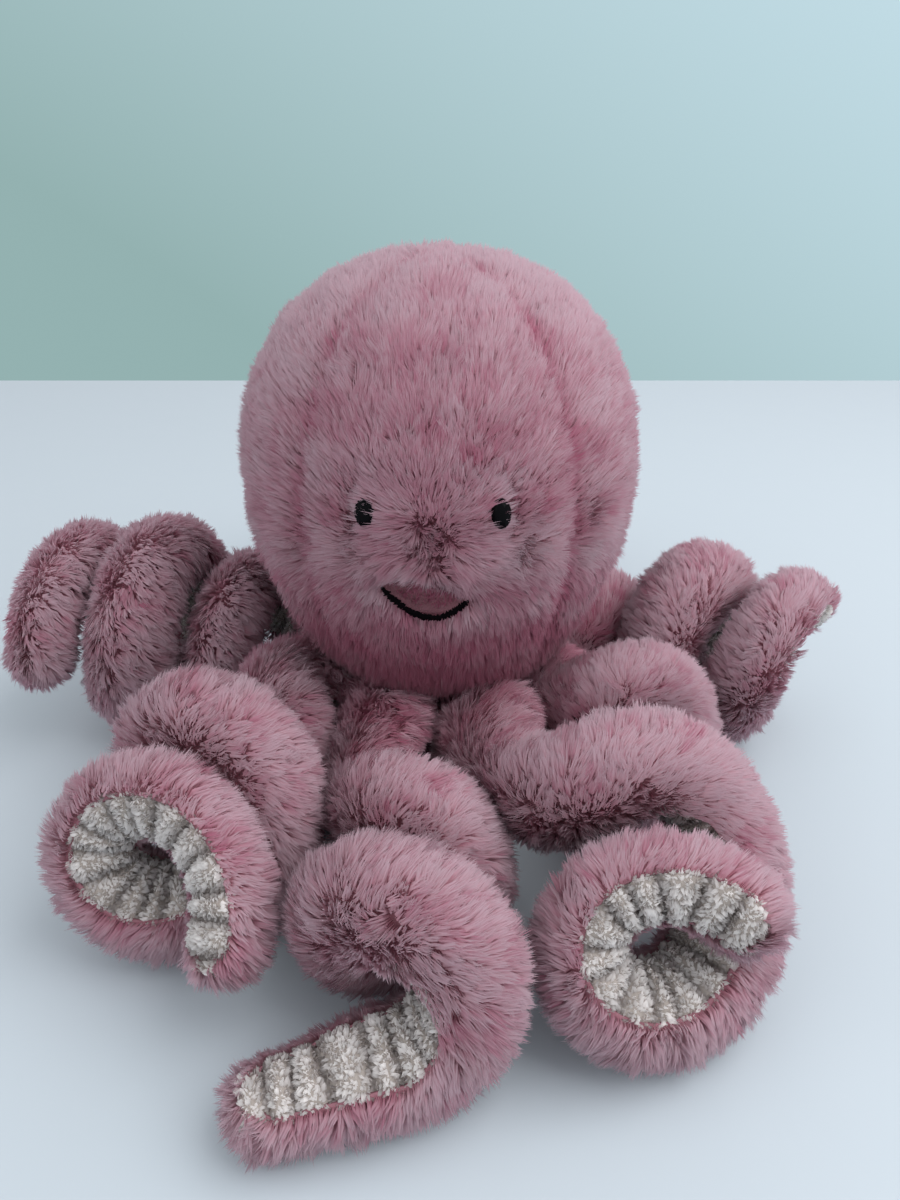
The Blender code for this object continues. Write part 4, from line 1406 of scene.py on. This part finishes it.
@dataclass
class Tentacle:
    """One tentacle: its fur channel and pile, its gathered lining and its stuffing."""

    coil: Coil
    shape: TubeShape
    solids: BVHTree
    fur_pile: Pile = Pile(
        length=0.0112, width=0.00056, per_square_metre=3.6e6, upright=0.36, bowed=1.40, lock=0.0024,
        lock_pull=0.36, swirl=0.0070, swirl_sway=0.30, lock_sway=0.16, strand_sway=0.12,
    )
    lining_pile: Pile = Pile(
        length=0.0026, width=0.00096, per_square_metre=2.4e6, upright=0.3, bowed=0.9, lock=0.0017,
        lock_pull=0.55, swirl=0.0050, swirl_sway=0.40, lock_sway=0.50, strand_sway=0.22, roundness=0.85,
        speckle=0.45,
    )
    depth: float = 0.0060
    lip_depth: float = 0.0022
    cloth: float = 0.0012
    arc_columns: int = 30
    neck_swell: float = 0.0030
    most_tufts: int = MOST_TUFTS
    cap_turns: tuple[float, ...] = (14.0, 28.0, 42.0, 56.0, 70.0, 82.0)
    closing_turn: float = 62.0
    swell_start: Ramp = Ramp(0.0, 0.010)
    swell_end: Ramp = Ramp(0.030, 0.045)
    lip_reach: float = 0.0120
    lip_length: float = 0.70
    inner_lip_length: float = 0.50
    lip_tone: float = -0.04
    comb_along: float = 0.45
    comb_round: float = 0.90
    lip_comb_round: float = 0.70
    root_length: float = 0.35
    root_long: Ramp = Ramp(0.010, 0.050)
    # Painted shade near the root, under the head
    root_tone: float = -0.20
    root_deep: Ramp = Ramp(0.020, 0.060)
    look_start: float = 0.0006
    crowded_length: float = 0.68
    crowded_weights: tuple[float, float] = (0.32, 0.85)  # where the tone is plain, and where painted shade by the root deepens it
    deep_tone: float = -0.08
    free_weight: Ramp = Ramp(0.0, 0.0130)
    free_length: Ramp = Ramp(0.0, 0.0090)
    rib_length: float = 0.0115
    rib_spread: float = 0.22
    rib_skew: float = 0.10
    rib_height: float = 0.0044
    rib_sharpness: float = 0.60
    # Painted shade in the lining's pleats
    crease_painted_shade: float = -0.80
    mouth_length: float = 0.1700  # of the strip, where its pile is densest
    mouth_start: Ramp = Ramp(0.0, 0.030)
    lining_weight: float = 0.42  # outside the mouth
    lining_crown: float = 0.0028
    lining_depth: float = 0.0006
    hem: Ramp = Ramp(0.80, 0.20)
    hem_dip: float = 0.0022
    hem_shade: Ramp = Ramp(0.7, 0.3)
    # Painted shade along the hems, where the lining dips under the fur
    hem_painted_shade: float = -0.06
    lining_columns: int = 12
    lining_row: float = 0.0011
    cap_reach: float = 0.72
    stuffing_reach: float = 0.52
    stuffing_reach_under_lining: float = 0.40
    stations: Stations = field(init=False)

    def __post_init__(self) -> None:
        """Works out the cross-sections."""
        self.stations = self.shape.stations(self.coil.trace(self.shape))

    @property
    def body(self) -> str:
        """The name of its body, with which its nodes' names begin."""
        return f"tentacle_{self.coil.number}"

    def fur_surface(self) -> Surface:
        """The outside from lip to lip, rounded over at both ends, where the pile closes it."""
        line = self.stations
        caps = np.radians(self.cap_turns)
        turns = np.concatenate([-caps[::-1], np.zeros(len(line.at)), caps])[:, None, None]
        index = np.clip(np.arange(len(turns)) - len(caps), 0, len(line.at) - 1)
        lip = math.acos(self.shape.lining_depth_share)
        closing = smooth(np.abs(turns[:, 0]) / math.radians(self.closing_turn))
        first = lip * (1.0 - closing)
        share = np.linspace(0.0, 1.0, self.arc_columns + 1)[None]
        angle = mix(first, 2.0 * math.pi - first, share)[..., None]
        centre, along, toward, across = (
            part[index][:, None] for part in (line.centres, line.alongs, line.towards, line.acrosses)
        )
        walked = line.at[index][:, None]
        swell = self.neck_swell * self.swell_start.at(walked) * (1.0 - self.swell_end.at(walked))
        radius = line.radii[index][:, None] + swell
        ring = toward * np.cos(angle) + across * np.sin(angle)
        normals = ring * np.cos(turns) + along * np.sin(turns)
        places = centre + normals * radius[..., None]
        from_lip = (1.0 - np.abs(share - 0.5) * 2.0) * (math.pi - first) * radius
        near_lip = (1.0 - smooth(from_lip / self.lip_reach)) * (1.0 - closing)
        around = -toward * np.sin(angle) + across * np.cos(angle)
        leaning = mix(self.comb_round, self.lip_comb_round, near_lip)[..., None]
        combs = flattened(along * self.comb_along - around * leaning, normals)
        depths = mix(self.depth, self.lip_depth, near_lip)
        inner_lip = near_lip * (share < 0.5)
        lengths = mix(1.0, self.lip_length, near_lip) * mix(1.0, self.inner_lip_length, inner_lip)
        lengths = lengths * (1.0 + self.root_length * (1.0 - self.root_long.at(walked)))
        tones = self.lip_tone * near_lip + self.root_tone * (1.0 - self.root_deep.at(walked))
        return Surface(places, normals, combs, depths, lengths, tones)

    def lining_surface(self) -> Surface:
        """The lining from lip to lip, crowned, and gathered into ribs across its length, with painted
        shade in its pleats and along its hems.
        """
        end = self.stations.at[-1]
        caps = self.stations.radii[[0, -1]] * self.cap_reach
        at = np.arange(-caps[0], end + caps[1], self.lining_row)
        line = self.stations.read(at)
        over = np.maximum(np.maximum(-at, at - end), 0.0) / line.radii
        scale = np.sqrt(1.0 - over * over)
        rng = np.random.default_rng(self.coil.number)
        ribs = np.arange(int((at[-1] - at[0]) / self.rib_length) + 2)
        spread = rng.uniform(-self.rib_spread, self.rib_spread, len(ribs))
        phase = np.interp(at, at[0] + (ribs + spread) * self.rib_length, ribs)[:, None]
        share = np.linspace(-1.0, 1.0, self.lining_columns + 1)[None]
        skew = self.rib_skew * np.sin(phase * 2.3 + 1.0) * share
        puff = np.abs(np.sin(math.pi * (phase + skew))) ** self.rib_sharpness
        lip = self.shape.lining_depth_share
        half = (math.sqrt(1.0 - lip * lip) * line.radii - self.shape.lip_width * 0.35) * scale
        crown = self.lining_crown * (1.0 - share * share) - self.hem_dip * self.hem.at(np.abs(share))
        rib = self.rib_height * (puff - 1.0) * (1.0 - 0.3 * share**2)
        rise = (line.radii * lip * scale)[:, None] + crown + rib
        places = line.centres[:, None] + line.towards[:, None] * rise[..., None]
        places = places + line.acrosses[:, None] * (share * half[:, None])[..., None]
        normals = unit(np.cross(np.gradient(places, axis=0), np.gradient(places, axis=1)))
        outward = np.sum(normals * line.towards[:, None], axis=-1)
        normals = normals * np.sign(outward.mean())
        depths = np.full(rise.shape, self.lining_depth)
        lengths = mix(0.50, 1.0, smooth(puff * 1.6))
        # Painted shade in the pleats between the ribs, and along the hems
        tones = self.crease_painted_shade * (1.0 - puff) ** 1.2
        tones = tones + self.hem_painted_shade * self.hem_shade.at(np.abs(share))
        return Surface(places, normals, np.zeros(places.shape), depths, lengths, tones)

    def build_fur(self) -> None:
        """Makes the fur channel's backing and its pile."""
        node = f"{self.body}_fur"
        surface = self.fur_surface()
        backing = cloth_piece(f"{node}_backing", surface.backing(), self.cloth)
        finished(backing, self.body, ROSE_CLOTH, node)
        free = surface.crowd(self.solids, self.look_start)
        lengths = mix(self.crowded_length, 1.0, self.free_length.at(free))
        surface.lengths = surface.lengths * lengths
        # Deep tones here are the painted shade by the root
        least = mix(*self.crowded_weights, surface.tones < self.deep_tone)
        weights = mix(least, 1.0, self.free_weight.at(free))
        rng = np.random.default_rng(100 + self.coil.number)
        pile, roots = self.fur_pile.sown(surface, weights, self.most_tufts, rng)
        finished(pile.grow(f"{node}_pile", roots, rng), self.body, ROSE_PILE, node)

    def build_lining(self) -> None:
        """Makes the gathered lining strip and its short nubby pile."""
        node = f"{self.body}_lining"
        surface = self.lining_surface()
        strip = cloth_piece(f"{node}_strip", surface.backing(), self.cloth, 0.5 + surface.tones)
        finished(strip, self.body, CREAM_CLOTH, node)
        rng = np.random.default_rng(200 + self.coil.number)
        rows, columns = surface.depths.shape
        at = np.arange(rows - 1) * self.lining_row - (rows * self.lining_row - self.mouth_length)
        weights = mix(self.lining_weight, 1.0, self.mouth_start.at(at))
        weights = np.repeat(weights[:, None], columns - 1, axis=1)
        roots = self.lining_pile.scatter(surface, weights, rng)
        pile = self.lining_pile.grow(f"{node}_pile", roots, rng)
        finished(pile, self.body, CREAM_PILE, node)
        area = float(surface.cell_areas().sum())
        widths = np.linalg.norm(np.diff(surface.places, axis=1), axis=-1).sum(axis=1)

    def build_stuffing(self) -> None:
        """Makes the stuffing between the fur and the lining."""
        line = self.stations.read(np.linspace(self.stations.at[0], self.stations.at[-1], 40))
        angle = np.radians(np.arange(0.0, 360.0, 30.0))[None, :, None]
        ring = line.towards[:, None] * np.cos(angle) + line.acrosses[:, None] * np.sin(angle)
        under_lining = np.cos(angle) > 0.2
        reach = np.where(under_lining, self.stuffing_reach_under_lining, self.stuffing_reach)
        places = line.centres[:, None] + ring * (reach * line.radii[:, None, None])
        stuffing = stuffing_piece(f"{self.body}_stuffing", places)
        finished(stuffing, self.body, WHITE_STUFFING, f"{self.body}_filling")

    def build(self) -> None:
        """Makes the whole tentacle."""
        self.build_fur()
        self.build_lining()
        self.build_stuffing()


# Studio


@dataclass
class Studio:
    """The floor, the soft light and the camera."""

    floor_half_width: float = 0.80
    floor_far: float = 0.63
    floor_near: float = -0.80
    lens: float = 27.0
    camera_place: tuple[float, float, float] = (0.0046, -0.386, 0.297)
    camera_tilt: float = 60.0
    # The wall's colours are painted light: lighter to the right and upwards, as the light falls on it
    wall_left: Colour = (0.295, 0.442, 0.437)
    wall_right: Colour = (0.560, 0.738, 0.815)
    sky: Colour = (0.93, 0.97, 1.0)
    sky_strength: float = 0.80
    wall_slope: float = 1.3  # how much more the wall's painted light changes upwards than across
    wall_range: tuple[float, float] = (-0.50, 0.55)
    lamps: tuple[tuple[str, tuple[float, float, float], float, float], ...] = (
        ("key", (0.80, -0.20, 1.15), 1.2, 14.0),
        ("fill", (-0.90, -0.50, 0.80), 1.0, 2.0),
    )
    lamp_aim: tuple[float, float, float] = (0.0, 0.0, 0.08)

    def build_floor(self) -> None:
        """Makes the plain pale floor."""
        bm = bmesh.new()
        bmesh.ops.create_grid(bm, x_segments=1, y_segments=1, size=1.0)
        half = (self.floor_far - self.floor_near) / 2.0
        bmesh.ops.scale(bm, verts=bm.verts, vec=(self.floor_half_width, half, 1.0))
        bmesh.ops.translate(bm, verts=bm.verts, vec=(0.0, self.floor_near + half, 0.0))
        floor = placed("floor", bm)
        floor.data.materials.append(PALE_FLOOR.material())

    def build_light(self) -> None:
        """Makes the lamps and the world, which shows the wall, with its painted light, to the camera.
        """
        for name, place, size, power in self.lamps:
            data = bpy.data.lights.new(name, "AREA")
            data.size = size
            data.energy = power
            lamp = linked(name, data)
            lamp.location = place
            aim = Vector(self.lamp_aim) - Vector(place)
            lamp.rotation_euler = aim.to_track_quat("-Z", "Y").to_euler()
        world = bpy.data.worlds.new("studio")
        world.use_nodes = True
        board = Board(world.node_tree)
        light = world.node_tree.nodes["Background"]
        board.fill(light, {"Color": rgba(self.sky), "Strength": self.sky_strength})
        place = board.add("TexCoord").outputs["Generated"]
        way = board.add("SeparateXYZ", {"Vector": place}).outputs
        sums = {0: way["Z"], 1: self.wall_slope, 2: way["X"]}
        share = board.add("Math", sums, operation="MULTIPLY_ADD").outputs[0]
        share = board.ranged(share, *self.wall_range, 0.0, 1.0)
        colour = board.mixed(share, rgba(self.wall_left), rgba(self.wall_right))
        wall = board.add("Background", {"Color": colour, "Strength": 1.0})
        path = board.add("LightPath").outputs["Is Camera Ray"]
        seen = board.add("MixShader", {0: path, 1: light.outputs[0], 2: wall.outputs[0]})
        board.fill(world.node_tree.nodes["World Output"], {"Surface": seen.outputs[0]})
        bpy.context.scene.world = world

    def build_camera(self) -> None:
        """Makes the camera, level and tilted down."""
        data = bpy.data.cameras.new("camera")
        data.lens = self.lens
        data.clip_start = 0.01
        camera = linked("camera", data)
        camera.location = self.camera_place
        camera.rotation_euler = (math.radians(self.camera_tilt), 0.0, 0.0)
        bpy.context.scene.camera = camera
        bpy.context.scene.view_settings.view_transform = "Standard"

    def build(self) -> None:
        """Makes the whole studio."""
        self.build_floor()
        self.build_light()
        self.build_camera()


def search_tree(nodes: list[bpy.types.Object]) -> BVHTree:
    """A search tree of some of the frame's solids."""
    places, faces = [], []
    for node in nodes:
        offset = len(places)
        places += [vert.co.copy() for vert in node.data.vertices]
        faces += [tuple(offset + index for index in face.vertices) for face in node.data.polygons]
    return BVHTree.FromPolygons(places, faces)


def main() -> None:
    """Builds and dresses the toy round the frame."""
    logging.basicConfig(level=logging.INFO, format="%(message)s")
    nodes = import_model()["nodes"]
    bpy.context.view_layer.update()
    Studio().build()
    furred = ("_fur", "_panel", "_lining")
    solids = search_tree([node for name, node in nodes.items() if name.endswith(furred)])
    face = Face(HeadShape())
    Head(face.shape, face, solids).build()
    face.build(search_tree([nodes["head_front_panel"]]))
    tube = TubeShape()
    for coil in COILS:
        most = FEWER_TUFTS if coil.number in BEHIND_THE_HEAD else MOST_TUFTS
        Tentacle(coil, tube, solids, most_tufts=most).build()


if __name__ == "__main__":
    main()
